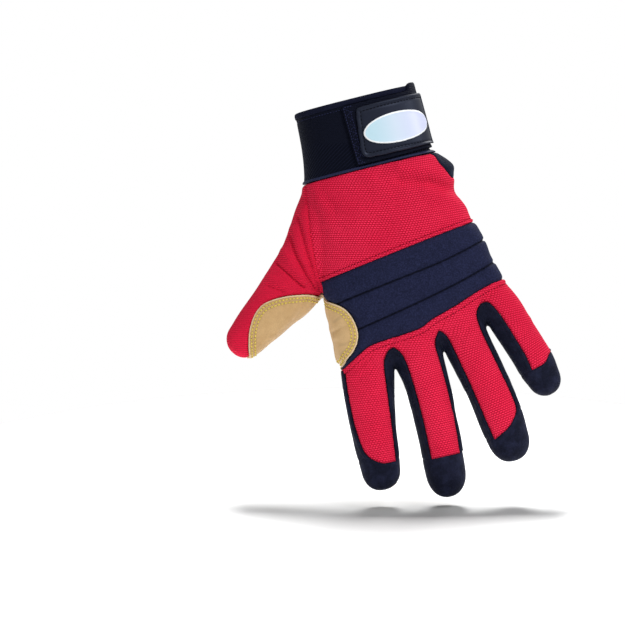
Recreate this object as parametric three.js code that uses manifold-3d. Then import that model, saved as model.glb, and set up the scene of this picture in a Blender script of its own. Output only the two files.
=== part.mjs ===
// Rope rescue glove for the left hand, standing as a hand would fill it.
// Millimetres. The origin is the centre of the cuff's mouth. +Z leaves the cuff
// along the wrist, the fingers point to -Z, the back of the hand faces -Y, the
// palm faces +Y, the thumb is at -X and the little finger at +X.
import * as THREE from 'three';
import { mergeVertices } from 'three/addons/utils/BufferGeometryUtils.js';
import Module from 'manifold-3d';

const wasm = await Module();
wasm.setup();

// Driving dimensions
const GAP = 0.3;             // between neighbouring panels
const LAP = 0.08;            // how far the two halves of one panel overlap where they join
const CLOTH_IN = -1.6;       // inner face of a cloth panel, from the hand surface
const CLOTH_OUT = 0;         // outer face of a cloth panel
const LEATHER_OUT = 0.5;     // outer face of a leather panel
const PAD_BASE_OUT = 0.1;    // knuckle pad in the bottom of a channel
const PAD_FILL_IN = -1.0;
const PAD_FILL_OUT = 1.8;    // knuckle pad on top of a padded band
const CHANNEL_HALF = 1.2;    // half the width of a stitched channel
const CUFF_IN = -2.0;
const CUFF_TOP = 0;
const CUFF_BINDING = -3.0;   // lower edge of the bound top edge
const CUFF_PIPING = -38.4;   // upper edge of the piping
const CUFF_BOTTOM = -41.0;   // lower edge of the piping
const STRAP_OUT = 2.2;
const PATCH_OUT = 3.7;
const BADGE_OUT = 4.6;
const BADGE = { x: 17.6, z: -21.6, halfLength: 18.6, halfHeight: 8.0 };
const THUMB_ROOT_X = -47;    // the thumb has halves of its own left of this
const THUMB_LOW_Z = -144;    // and above this

const PALM_SIDES = 24;
const FINGER_SIDES = 12;
const TIP_ANGLES = [32, 58, 78];
const FINGER_ROUND = 2.3;    // 2 is an ellipse, more is squarer

// The hand from the cuff to the finger roots: each row is one level.
// slant lifts the level by that share of x.
const PALM_COLUMNS = ['z', 'slant', 'left', 'right', 'back', 'palm', 'round'];
const PALM_ROWS = [
  [5, 0, -36.6, 32.3, 22.5, 22.5, 2.6],
  [-20, 0, -37.8, 32.8, 22.5, 22.5, 2.6],
  [-36, 0, -40.2, 33.4, 22.5, 22.5, 2.6],
  [-41, 0, -41.4, 36.6, 22.8, 22.8, 2.6],
  [-47, 0, -42.6, 42.3, 23.0, 23.6, 2.6],
  [-52, 0, -43.3, 43.3, 23.0, 24.2, 2.6],
  [-60, 0, -44.2, 42.8, 22.6, 24.4, 2.6],
  [-72, 0, -45.0, 44.4, 21.6, 24.2, 2.6],
  [-84, 0, -45.8, 48.0, 20.2, 23.0, 2.6],
  [-96, 0, -46.2, 51.4, 19.0, 21.4, 2.6],
  [-108, 0, -46.0, 52.6, 18.0, 19.6, 2.6],
  [-120, 0, -45.8, 53.0, 16.8, 18.0, 2.6],
  [-132, 0.05, -45.6, 51.0, 15.6, 16.4, 2.6],
  [-142, 0.1, -45.0, 45.5, 13.6, 14.2, 2.5],
  [-148.6, 0.1, -41.4, 40.2, 9.8, 10.3, 2.4],
];

// Fingers and thumb: centre line, half width across the hand, half depth.
// tip is how far the rounded end reaches past the last row.
const DIGIT_COLUMNS = ['x', 'y', 'z', 'halfWidth', 'halfDepth'];
const DIGITS = {
  index: { tip: 11.4, rows: [
    [-29.5, 0.3, -116, 15.0, 13.6], [-30.8, 0.4, -140, 15.6, 13.6],
    [-32.0, 0.9, -154, 15.4, 13.2], [-34.0, 1.9, -166, 14.8, 12.8],
    [-35.6, 3.3, -178, 14.0, 12.4], [-36.8, 5.3, -191, 13.0, 11.8],
    [-37.7, 8.0, -205, 12.0, 11.0], [-38.2, 9.4, -212, 11.2, 10.3]] },
  middle: { tip: 14.0, rows: [
    [-1.0, 0.3, -116, 14.6, 14.0], [-1.4, 0.4, -140, 14.6, 13.8],
    [-1.4, 0.8, -153, 14.3, 13.2], [-0.6, 1.8, -165, 13.1, 12.6],
    [-0.4, 3.3, -178, 12.6, 12.2], [-0.9, 6.1, -195, 12.1, 11.6],
    [-1.4, 8.8, -208, 11.9, 11.0], [-2.1, 12.1, -222, 11.6, 10.2]] },
  ring: { tip: 13.8, rows: [
    [23.5, 0.3, -112, 13.6, 13.6], [26.0, 0.4, -137, 13.8, 13.4],
    [27.6, 0.8, -151, 13.6, 12.8], [30.4, 1.7, -164, 13.4, 12.4],
    [33.2, 3.3, -178, 13.3, 12.0], [35.6, 5.5, -192, 13.2, 11.4],
    [37.2, 7.8, -204, 12.9, 10.8], [38.0, 9.3, -211.5, 12.0, 10.2]] },
  little: { tip: 10.8, rows: [
    [40.5, 0.3, -104, 10.6, 12.6], [46.6, 0.4, -125, 11.2, 12.4],
    [52.0, 0.6, -138, 11.6, 11.8], [56.4, 1.2, -151, 11.4, 11.2],
    [61.1, 2.4, -164.5, 11.2, 10.8], [64.3, 4.0, -175.5, 10.9, 10.2],
    [66.4, 5.2, -183, 9.8, 9.2]] },
  thumb: { tip: 11.6, rows: [
    [-26.0, 2.6, -51, 18.0, 18.0], [-34.5, 4.0, -63.5, 18.4, 18.4],
    [-48.5, 6.6, -82.5, 17.6, 16.6], [-62.0, 9.0, -95.0, 16.6, 15.2],
    [-76.5, 11.4, -105.8, 14.4, 13.4], [-88.8, 13.2, -114.6, 12.4, 11.8],
    [-96.0, 14.2, -120.4, 10.9, 10.3]] },
};

// Where the back half of the hand meets the palm half.
const MIDDLE_COLUMNS = ['z', 'y'];
const MIDDLE_ROWS = [
  [30, 0.5], [-140, 0.5], [-154, 1.0], [-166, 1.9], [-178, 3.3], [-191, 5.4],
  [-205, 8.1], [-212, 9.6], [-222, 12.1], [-245, 17.5],
];
const THUMB_MIDDLE_COLUMNS = ['x', 'y'];
const THUMB_MIDDLE_ROWS = [
  [-47, 6.4], [-62, 9.0], [-76.5, 11.4], [-88.8, 13.2], [-96, 14.2], [-130, 18.5],
];

// Seam lines on the back of the hand, as x and z.
const THUMB_SEAM = [[-41, -40.6], [-43, -55], [-44.8, -67], [-46, -94]];
const KNUCKLE_TOP = [[-45.9, -97.4], [-27, -94.8], [-2.5, -91.4], [22.3, -88], [47.6, -84.8],
  [70, -82.2]];
const KNUCKLE_END = [[-45.9, -97.4], [-46.5, -102.6], [-45.1, -108.9]];
const LOBE = [[-45.1, -108.9], [-40, -112.2], [-36.5, -115], [-33.5, -120], [-32, -126],
  [-32, -132], [-34.2, -137.3], [-37.6, -141.3], [-42, -144.4], [-45.6, -147.6], [-56, -152]];
const CHANNEL_1 = [[-60, -115], [-40.4, -112], [-25, -109.7], [0, -106.3], [24.5, -103],
  [43.5, -98.7], [70, -91]];
const CHANNEL_2 = [[-60, -134], [-31, -129], [-17, -126.6], [7.8, -122], [33, -116.5],
  [51.8, -111], [75, -104]];
const KNUCKLE_LOW = [[-56, -153], [-45.6, -149.4], [-33, -142.4], [-26.3, -139.4],
  [-8.2, -138.4], [4, -137.3], [10.9, -133.6], [23.6, -130.5], [36.8, -125.7], [49.7, -121.8],
  [75, -119]];
const STRIP_ENDS = [
  [-56, -153], [-46.2, -153], [-46.8, -167], [-47.4, -183], [-45.9, -198], [-43.3, -203],
  [-36.4, -208.2], [-28.2, -208.6], [-27.4, -204], [-25.3, -186], [-23.2, -165],
  [-21.7, -150.6], [-17.5, -144.6], [-13.8, -144.3], [-10.3, -149.3], [-8.8, -160],
  [-8, -181], [-8, -193], [-8.7, -212.4], [9.1, -213], [10.5, -196], [10.9, -177],
  [10.4, -160], [9.4, -146.4], [13.6, -140.9], [17.1, -144.7], [19.8, -158], [23.3, -175],
  [26.4, -194], [29.4, -210.4], [39.7, -205.4], [47.1, -197], [46, -187], [41.6, -166],
  [37.4, -147], [36.6, -136.2], [41.2, -131.2], [45, -131.6], [49.5, -139.7], [54.3, -154],
  [58.6, -167.6], [60, -176.4], [68.9, -174.4], [73.8, -167.8], [90, -160],
];
const THUMB_TAN_BACK = [[-46, -106.4], [-55.9, -102], [-70.3, -100], [-81.4, -101.4],
  [-87.6, -106.4], [-92.8, -114.7], [-96.4, -127], [-97, -140]];
const GUSSET_BACK = [[33.4, -40.6], [36, -42.6], [36.9, -46.8], [39.7, -51.7],
  [42.3, -57.2], [60, -57.2]];

// Seam lines on the palm side, as x and z.
const RED_PALM = [[-17.8, -39], [-18.6, -42], [-24, -49], [-38, -60], [-56, -76.5],
  [-74, -92.5], [-90, -106.5], [-103, -120], [-116, -131]];
const TAN_TOP = [[60, -51], [41.7, -50.9], [32.2, -51.5], [24, -54.6], [10.4, -61.4],
  [-0.8, -68.6], [-12.1, -77.5], [-23.4, -85.5], [-34.1, -89.5], [-48.2, -93.2],
  [-59.2, -98.4], [-71.9, -105.4], [-83.2, -113.6], [-91.1, -121.4], [-99.1, -131],
  [-106, -140]];
const TONGUES = [
  [-56, -150], [-46.6, -157], [-42.5, -164], [-37.2, -169.8], [-31.5, -172.6],
  [-25.8, -171.6], [-22, -167], [-20.2, -159], [-18.6, -152], [-15.4, -148.4],
  [-11.6, -149.4], [-8.8, -155], [-5, -162], [-0.8, -165.6], [4, -165.8], [7.4, -162.6],
  [8.6, -155], [9.8, -146.6], [13.2, -142.8], [17, -144.4], [20, -151], [23, -156.4],
  [27.4, -158.6], [32.4, -157.4], [35.2, -152.4], [35.8, -144], [36.4, -136.8],
  [39.6, -133.2], [43.4, -134.6], [47.8, -139], [53, -142.4], [57.4, -141.2], [59.8, -136.4],
  [59.4, -129.6], [57, -122], [75, -112],
];
const GUSSET_PALM = [[36.6, -39], [35.4, -43.4], [31.2, -48], [24, -54.6]];

// Leather finger pads: distances down the centre line from its row at the
// finger root, and half widths as a share of the finger's.
const PAD_COLUMNS = ['along', 'left', 'right'];
const PADS = {
  index: [[0, 0.42, 0.42], [1.6, 0.62, 0.62], [6, 0.78, 0.78], [24, 0.78, 0.78],
    [27, 0.56, 0.8], [28.6, 0.58, 0.62], [31.4, 0.78, 0.74], [41, 0.72, 0.74],
    [46, 0.6, 0.62], [49.4, 0.36, 0.36]],
  middle: [[0, 0.42, 0.42], [1.6, 0.62, 0.62], [6, 0.78, 0.78], [30, 0.78, 0.78],
    [33, 0.56, 0.8], [34.6, 0.58, 0.62], [37.4, 0.78, 0.74], [51, 0.72, 0.74],
    [59, 0.6, 0.62], [64, 0.34, 0.34]],
  ring: [[0, 0.42, 0.42], [1.6, 0.6, 0.6], [6, 0.76, 0.76], [26, 0.76, 0.76],
    [29, 0.54, 0.78], [30.6, 0.56, 0.6], [33.4, 0.76, 0.72], [48, 0.7, 0.7],
    [54, 0.58, 0.58], [58.4, 0.34, 0.34]],
  little: [[0, 0.1, 0.1], [8, 0.78, 0.78], [21, 0.8, 0.8],
    [23.4, 0.56, 0.8], [25, 0.58, 0.62], [27.6, 0.78, 0.76], [34, 0.72, 0.72],
    [38.6, 0.58, 0.58], [41.6, 0.32, 0.32]],
};
const PAD_START_Z = { index: -176.6, middle: -170, ring: -163, little: -147 };

// Fingertip caps: the levels where the side strips stop, as x and z.
const CAP_LEVELS = {
  index: [[-60, -203], [-43, -203], [-30, -206], [-20.2, -207]],
  middle: [[-20.2, -211], [-8, -211.5], [9, -212], [17.6, -211]],
  ring: [[17.6, -209], [29, -209], [47, -198], [53, -194]],
  little: [[53, -178], [60, -176.4], [74, -168], [90, -161]],
};
const CAP_ENDS = { index: [[-22.5, -250], [-60, -250]], middle: [[20, -250], [-22.5, -250]],
  ring: [[66, -250], [20, -250]], little: [[100, -250], [66, -250], [53, -190]] };

const COLOURS = {
  red: { color: 0xd6223c, roughness: 0.85 },
  navy: { color: 0x24263e, roughness: 0.8 },
  black: { color: 0x16182a, roughness: 0.75 },
  tan: { color: 0xdeba86, roughness: 0.7 },
  rubber: { color: 0x282b3a, roughness: 0.45 },
  silver: { color: 0xd7e4f5, roughness: 0.3 },
};

// A mesh of points and triangles as a solid with its faces pointing out.
function solid(points, triangles) {
  let volume = 0;
  for (const [a, b, c] of triangles) {
    const [p, q, r] = [points[a], points[b], points[c]];
    volume += p[0] * (q[1] * r[2] - q[2] * r[1]) + p[1] * (q[2] * r[0] - q[0] * r[2])
      + p[2] * (q[0] * r[1] - q[1] * r[0]);
  }
  const facing = volume > 0 ? triangles : triangles.map(([a, b, c]) => [a, c, b]);
  return new wasm.Manifold(new wasm.Mesh({
    numProp: 3,
    vertProperties: new Float32Array(points.flat()),
    triVerts: new Uint32Array(facing.flat()),
  }));
}

// A closed skin over equal rings, with a point or a flat fan at each end.
function loft(rings, end) {
  const sides = rings[0].length;
  const points = rings.flat();
  const triangles = [];
  for (let i = 0; i + 1 < rings.length; i++) {
    for (let j = 0; j < sides; j++) {
      const a = i * sides + j;
      const b = i * sides + (j + 1) % sides;
      triangles.push([a, b, a + sides], [b, b + sides, a + sides]);
    }
  }
  const middle = (ring) => [0, 1, 2].map((k) => ring.reduce((s, p) => s + p[k], 0) / sides);
  const first = points.push(middle(rings[0])) - 1;
  const last = points.push(end ?? middle(rings.at(-1))) - 1;
  const base = (rings.length - 1) * sides;
  for (let j = 0; j < sides; j++) {
    triangles.push([(j + 1) % sides, j, first], [base + j, base + (j + 1) % sides, last]);
  }
  return solid(points, triangles);
}

// Points round a squared ellipse, as shares of its half sizes.
function around(sides, round) {
  const points = [];
  for (let j = 0; j < sides; j++) {
    const turn = (j + 0.5) * 2 * Math.PI / sides;
    const [c, s] = [Math.cos(turn), Math.sin(turn)];
    const size = (Math.abs(c) ** round + Math.abs(s) ** round) ** (-1 / round);
    points.push([c * size, s * size]);
  }
  return points;
}

function palmSolid(out) {
  const rings = PALM_ROWS.map(([z, slant, left, right, back, palm, round]) => {
    const x = (left + right) / 2;
    const y = (palm - back) / 2;
    const [a, b] = [(right - left) / 2 + out, (back + palm) / 2 + out];
    return around(PALM_SIDES, round).map(([u, v]) => [x + a * u, y + b * v,
      z + slant * (x + a * u)]);
  });
  return loft(rings);
}

// Direction of a centre line at row i, and its sideways direction in the X Z plane.
function directions(rows, i) {
  const from = new THREE.Vector3(...rows[Math.max(i - 1, 0)]);
  const to = new THREE.Vector3(...rows[Math.min(i + 1, rows.length - 1)]);
  const ahead = to.sub(from).normalize();
  const side = new THREE.Vector3(-ahead.z, 0, ahead.x).normalize();
  return { ahead, side, deep: ahead.clone().cross(side).normalize() };
}

function digitSolid({ rows, tip }, out) {
  const shape = around(FINGER_SIDES, FINGER_ROUND);
  const rings = [];
  let end;
  const ring = (centre, { side, deep }, a, b) => rings.push(shape.map(([u, v]) => centre.clone()
    .addScaledVector(side, a * u).addScaledVector(deep, b * v).toArray()));
  rows.forEach(([x, y, z, a, b], i) => {
    const way = directions(rows, i);
    const centre = new THREE.Vector3(x, y, z);
    ring(centre, way, a + out, b + out);
    if (i === rows.length - 1) {
      for (const angle of TIP_ANGLES) {
        const t = THREE.MathUtils.degToRad(angle);
        const ahead = centre.clone().addScaledVector(way.ahead, (tip + out) * Math.sin(t));
        ring(ahead, way, (a + out) * Math.cos(t), (b + out) * Math.cos(t));
      }
      end = centre.clone().addScaledVector(way.ahead, tip + out).toArray();
    }
  });
  return loft(rings, end);
}

// The whole hand, its surface moved outwards by a distance.
const hands = new Map();
function hand(out) {
  if (!hands.has(out)) {
    let whole = palmSolid(out);
    for (const digit of Object.values(DIGITS)) {
      whole = whole.add(digitSolid(digit, out));
    }
    hands.set(out, whole);
  }
  return hands.get(out);
}

const layers = new Map();
function layer(inner, outer) {
  const key = `${inner} ${outer}`;
  if (!layers.has(key)) {
    layers.set(key, hand(outer).subtract(hand(inner)));
  }
  return layers.get(key);
}

// A flat outline pushed along one axis. The outline's two coordinates are the
// other two axes in order.
function prism(outline, axis, from, to) {
  const shape = new THREE.Shape(outline.map(([u, v]) => new THREE.Vector2(u, v)));
  let geometry = new THREE.ExtrudeGeometry(shape, { depth: to - from, bevelEnabled: false });
  geometry.deleteAttribute('normal');
  geometry.deleteAttribute('uv');
  geometry = mergeVertices(geometry, 1e-4);
  const position = geometry.attributes.position;
  const place = {
    x: (u, v, w) => [from + w, u, v],
    y: (u, v, w) => [u, from + w, v],
    z: (u, v, w) => [u, v, from + w],
  }[axis];
  const points = [];
  for (let i = 0; i < position.count; i++) {
    points.push(place(position.getX(i), position.getY(i), position.getZ(i)));
  }
  const index = [...geometry.index.array];
  const triangles = [];
  for (let i = 0; i < index.length; i += 3) {
    triangles.push(index.slice(i, i + 3));
  }
  return solid(points, triangles);
}

// An outline moved outwards by a distance.
function grown(outline, by) {
  const area = outline.reduce((sum, [x, z], i) => {
    const [u, v] = outline[(i + 1) % outline.length];
    return sum + x * v - u * z;
  }, 0);
  const way = Math.sign(area) * by;
  return outline.map(([x, z], i) => {
    const [px, pz] = outline.at(i - 1);
    const [nx, nz] = outline[(i + 1) % outline.length];
    const before = new THREE.Vector2(z - pz, px - x).normalize();
    const after = new THREE.Vector2(nz - z, x - nx).normalize();
    const reach = way / Math.max(1 + before.dot(after), 0.4);
    return [x + (before.x + after.x) * reach, z + (before.y + after.y) * reach];
  });
}

// The half of space at the back of the hand, moved towards the palm by a distance.
function backHalf(by) {
  const fingers = MIDDLE_ROWS.map(([z, y]) => [y + by, z]);
  const thumb = THUMB_MIDDLE_ROWS.map(([x, y]) => [x, y + by]);
  thumb[0][0] += by;
  const above = prism([[-100, 30], ...fingers, [-100, -245]], 'x', THUMB_ROOT_X, 120);
  const below = prism([[-100, THUMB_LOW_Z], [fingers[1][0], THUMB_LOW_Z], ...fingers.slice(2),
    [-100, -245]], 'x', -75, 0);
  return above.add(below).add(prism([[thumb[0][0], -100], ...thumb, [-130, -100]], 'z',
    THUMB_LOW_Z - by, 30));
}
const EVERYTHING = prism([[-130, -100], [120, -100], [120, 100], [-130, 100]], 'z', -250, 30);
const BACK = backHalf(0);
const BACK_LAP = backHalf(LAP);
const BACK_GROWN = backHalf(GAP);
const PALM = EVERYTHING.subtract(BACK);
const PALM_GROWN = EVERYTHING.subtract(backHalf(-GAP));

// A panel's room: outlines on the back, on the palm, or right through.
function room({ back = [], palm = [], both = [] }, wide) {
  const by = wide ? GAP : 0;
  const through = (outline) => prism(grown(outline, by), 'y', -70, 70);
  const half = palm.length ? BACK_LAP : BACK;
  const parts = [
    ...back.map((outline) => through(outline).intersect(wide ? BACK_GROWN : half)),
    ...palm.map((outline) => through(outline).intersect(wide ? PALM_GROWN : PALM)),
    ...both.map(through),
  ];
  return parts.reduce((whole, part) => whole.add(part));
}

// Slivers left by the cuts are dropped: the panel is the largest piece.
function largest(whole) {
  return whole.decompose().sort((a, b) => b.volume() - a.volume())[0];
}

const band = (low, high) => ({ both: [[[-80, low], [80, low], [80, high], [-80, high]]] });
const reversed = (line) => [...line].reverse();

// The pad's outline down the centre line of its finger.
function padOutline(name) {
  const { rows, tip } = DIGITS[name];
  const points = rows.map((row) => new THREE.Vector3(...row));
  const last = directions(rows, rows.length - 1).ahead;
  points.push(points.at(-1).clone().addScaledVector(last, tip));
  const widths = [...rows.map((row) => row[3]), rows.at(-1)[3]];
  const line = new THREE.CatmullRomCurve3(points);
  const steps = line.getSpacedPoints(400);
  const start = steps.findIndex((p) => p.z < PAD_START_Z[name]);
  const length = line.getLength() / 400;
  const at = (along, share) => {
    const i = Math.min(start + Math.round(along / length), 399);
    const p = steps[i];
    const ahead = steps[i + 1].clone().sub(p).normalize();
    let k = points.findIndex((q) => q.z < p.z);
    k = k < 1 ? widths.length - 1 : k;
    const t = (points[k - 1].z - p.z) / (points[k - 1].z - points[k].z);
    const half = widths[k - 1] * (1 - t) + widths[k] * t;
    const side = new THREE.Vector2(-ahead.z, ahead.x).normalize();
    return [p.x + side.x * half * share, p.z + side.y * half * share];
  };
  return [
    ...PADS[name].map(([along, , right]) => at(along, right)),
    ...reversed(PADS[name]).map(([along, left]) => at(along, -left)),
  ];
}

const capOutline = (name) => [...CAP_LEVELS[name], ...CAP_ENDS[name]];
const oval = [];
for (let i = 0; i < 40; i++) {
  const t = i * Math.PI / 20;
  oval.push([BADGE.x + BADGE.halfLength * Math.cos(t), BADGE.z + BADGE.halfHeight * Math.sin(t)]);
}
const PATCH_OUTLINE = [[0.6, -4.6], [42, -5.6], [42, -34.6], [0.4, -34.2], [-1.6, -32.6],
  [-2.2, -30.6], [-1.6, -8], [-1, -5.6]];

// name, colour, inner face, outer face, outlines. A panel gives way to those above it.
const PANELS = [
  ['thumb_back', 'red', CLOTH_IN, CLOTH_OUT, {
    back: [[...THUMB_SEAM, ...THUMB_TAN_BACK, [-130, -140], [-130, -40.6]]],
    palm: [[...RED_PALM.slice(1), [-130, -131], [-130, -40.6], [-18.2, -40.6]]] }],
  ['index_pad', 'tan', CLOTH_IN, LEATHER_OUT, { palm: [padOutline('index')] }],
  ['middle_pad', 'tan', CLOTH_IN, LEATHER_OUT, { palm: [padOutline('middle')] }],
  ['ring_pad', 'tan', CLOTH_IN, LEATHER_OUT, { palm: [padOutline('ring')] }],
  ['little_pad', 'tan', CLOTH_IN, LEATHER_OUT, { palm: [padOutline('little')] }],
  ['palm_patch', 'tan', CLOTH_IN, LEATHER_OUT, {
    back: [[...THUMB_TAN_BACK, [-60, -140], ...reversed(LOBE)]],
    palm: [[...TAN_TOP, [-60, -140], ...TONGUES]] }],
  ['wrist_gusset', 'black', CLOTH_IN, CLOTH_OUT, {
    back: [[...GUSSET_BACK, [60, -40.6]]],
    palm: [[[36.3, -40.6], ...GUSSET_PALM.slice(1), [32.2, -51.5], [41.7, -50.9], [60, -51],
      [60, -40.6]]] }],
  ['back_panel', 'red', CLOTH_IN, CLOTH_OUT, {
    back: [[...THUMB_SEAM, ...KNUCKLE_TOP, [70, -40.6]]] }],
  ['palm_base', 'black', CLOTH_IN, CLOTH_OUT, {
    palm: [[[-18.2, -40.6], ...RED_PALM.slice(1), [-116, -145], ...reversed(TAN_TOP).slice(0, -2),
      [41.7, -50.9], [41.7, -40.6]]] }],
  ['knuckle_pad', 'navy', CLOTH_IN, PAD_BASE_OUT, {
    back: [[...reversed(KNUCKLE_END), ...KNUCKLE_TOP, ...reversed(KNUCKLE_LOW),
      ...reversed(LOBE).slice(0, -1)]] }],
  ['finger_backs', 'red', CLOTH_IN, CLOTH_OUT, {
    back: [[...STRIP_ENDS, ...reversed(KNUCKLE_LOW).slice(0, -1)]] }],
  ['index_tip', 'black', CLOTH_IN, CLOTH_OUT, { both: [capOutline('index')] }],
  ['middle_tip', 'black', CLOTH_IN, CLOTH_OUT, { both: [capOutline('middle')] }],
  ['ring_tip', 'black', CLOTH_IN, CLOTH_OUT, { both: [capOutline('ring')] }],
  ['little_tip', 'black', CLOTH_IN, CLOTH_OUT, { both: [capOutline('little')] }],
  ['index_side', 'black', CLOTH_IN, CLOTH_OUT, { both: [
    [[-60, -146], [-60, -212], [-37.6, -212], [-35.2, -177], [-32, -146]]] }],
  ['index_middle_gusset', 'black', CLOTH_IN, CLOTH_OUT, { both: [
    [[-31.6, -140], [-34.8, -177], [-37.2, -213], [-1.8, -213], [-0.6, -170], [-1, -140]]] }],
  ['middle_ring_gusset', 'black', CLOTH_IN, CLOTH_OUT, { both: [
    [[-0.6, -136], [-0.2, -170], [-1.4, -213], [36.6, -213], [32.6, -178], [26.4, -136]]] }],
  ['ring_little_gusset', 'black', CLOTH_IN, CLOTH_OUT, { both: [
    [[26.8, -126], [33, -178], [37, -212], [66, -200], [80, -168], [70, -122], [44, -118]]] }],
];

const group = new THREE.Group();
function show(name, colour, whole) {
  const { vertProperties, triVerts } = whole.getMesh();
  const geometry = new THREE.BufferGeometry();
  geometry.setAttribute('position', new THREE.BufferAttribute(vertProperties, 3));
  geometry.setIndex(new THREE.BufferAttribute(triVerts, 1));
  geometry.computeVertexNormals();
  const material = new THREE.MeshStandardMaterial({ metalness: 0, ...COLOURS[colour] });
  const mesh = new THREE.Mesh(geometry, material);
  mesh.name = name;
  group.add(mesh);
}

// The padded bands of the knuckle pad stand between its edges and its channels.
function knuckleFill() {
  const bands = [
    [...KNUCKLE_TOP, ...reversed(CHANNEL_1)],
    [...CHANNEL_1, ...reversed(CHANNEL_2)],
    [...CHANNEL_2, ...reversed(KNUCKLE_LOW)],
  ];
  const rooms = bands.map((outline) => room({ back: [grown(outline, -CHANNEL_HALF)] }, false));
  return layer(PAD_FILL_IN, PAD_FILL_OUT).intersect(rooms.reduce((a, b) => a.add(b)));
}

let taken;
for (const [name, colour, inner, outer, outlines] of PANELS) {
  let panel = layer(inner, outer).intersect(room(outlines, false));
  if (name === 'knuckle_pad') {
    panel = panel.add(knuckleFill().intersect(room(outlines, false)));
  }
  panel = taken ? panel.subtract(taken) : panel;
  show(name, colour, largest(panel));
  const wide = room(outlines, true);
  taken = taken ? taken.add(wide) : wide;
}

// The cuff: a tube with a bound top edge and piping, and the strap over it.
const cuff = (low, high, inner, outer) => layer(inner, outer).intersect(room(band(low, high)));
show('cuff_band', 'black', cuff(CUFF_PIPING + GAP, CUFF_BINDING - GAP, CUFF_IN, 0));
show('cuff_binding', 'black', cuff(CUFF_BINDING, CUFF_TOP, CUFF_IN, 0.6));
show('cuff_piping', 'navy', cuff(CUFF_BOTTOM + GAP * 2, CUFF_PIPING, CUFF_IN, 0.9));
const strapEnd = [[-8.5, CUFF_PIPING + GAP], [60, CUFF_PIPING + GAP], [60, CUFF_BINDING - GAP],
  [-8.5, CUFF_BINDING - GAP]];
const strapPalm = strapEnd.map(([x, z]) => [Math.max(x, 24), z]);
show('closure_strap', 'black', largest(layer(GAP, STRAP_OUT)
  .intersect(room({ back: [strapEnd], palm: [strapPalm] }))));
show('closure_patch', 'rubber', largest(layer(STRAP_OUT + GAP, PATCH_OUT)
  .intersect(room({ back: [PATCH_OUTLINE] }))));
show('badge', 'silver', largest(layer(PATCH_OUT + GAP, BADGE_OUT).intersect(room({ back: [oval] }))));

export default group;
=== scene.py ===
"""Rope rescue glove for the left hand: every sewn piece, its stitching and its cloth, leather and rubber."""

import math
from collections import defaultdict

import bmesh
import bpy
import numpy as np
from mathutils import Matrix, Vector, noise
from mathutils.bvhtree import BVHTree
from mathutils.kdtree import KDTree


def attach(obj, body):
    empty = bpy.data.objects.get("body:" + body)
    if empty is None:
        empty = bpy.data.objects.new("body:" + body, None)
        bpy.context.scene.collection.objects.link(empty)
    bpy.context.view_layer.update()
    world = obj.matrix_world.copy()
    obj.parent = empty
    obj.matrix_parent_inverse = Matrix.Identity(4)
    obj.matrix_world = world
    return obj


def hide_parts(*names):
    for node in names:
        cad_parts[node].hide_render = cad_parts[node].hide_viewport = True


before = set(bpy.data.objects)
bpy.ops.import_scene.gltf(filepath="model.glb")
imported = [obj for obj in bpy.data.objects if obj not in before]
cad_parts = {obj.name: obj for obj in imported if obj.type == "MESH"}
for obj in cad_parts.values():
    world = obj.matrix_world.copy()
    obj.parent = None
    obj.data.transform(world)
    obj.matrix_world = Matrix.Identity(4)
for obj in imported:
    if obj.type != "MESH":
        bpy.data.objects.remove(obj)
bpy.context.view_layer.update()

bl_info = {
    "name": "Rope Rescue Glove",
    "version": (1, 0, 0),
    "blender": (4, 5, 0),
    "location": "View3D > Sidebar > Glove",
    "description": "Builds a padded rope rescue glove piece by piece",
    "category": "Object",
}

MM = 0.001
# A distance in millimetres that is past every line sewn through a piece.
FAR = 50.0
# How far the glove is turned in the photo's plane.
ROLL = math.radians(14)

# The hand's shape in millimetres. The back faces -Y, the palm +Y, the fingers -Z.
# z, slant, left, right, back, palm, round: one row for each level from cuff to finger roots.
PALM_ROWS = [
    (8, 0, -36.4, 32.3, 22.5, 22.5, 2.6),
    (-20, 0, -37.8, 32.8, 22.5, 22.5, 2.6),
    (-36, 0, -40.2, 33.4, 22.5, 22.5, 2.6),
    (-41, 0, -42.4, 37.6, 22.8, 22.8, 2.6),
    (-46, 0, -44.0, 42.6, 23.0, 23.6, 2.6),
    (-51, 0, -44.0, 45.6, 23.0, 24.2, 2.6),
    (-54.5, 0, -43.8, 44.2, 23.0, 24.4, 2.6),
    (-60, 0, -44.2, 42.8, 22.6, 24.4, 2.6),
    (-72, 0, -45.0, 44.4, 21.6, 24.2, 2.6),
    (-84, 0, -45.8, 48.0, 20.2, 23.0, 2.6),
    (-96, 0, -46.2, 51.4, 19.0, 21.4, 2.6),
    (-108, 0, -46.0, 52.6, 18.0, 19.6, 2.6),
    (-120, 0, -45.8, 53.0, 16.8, 18.0, 2.6),
    (-132, 0.05, -45.6, 51.0, 15.6, 16.4, 2.6),
    (-142, 0.1, -45.0, 45.5, 13.6, 14.2, 2.5),
    (-148.6, 0.1, -41.4, 40.2, 9.8, 10.3, 2.4),
]
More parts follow.
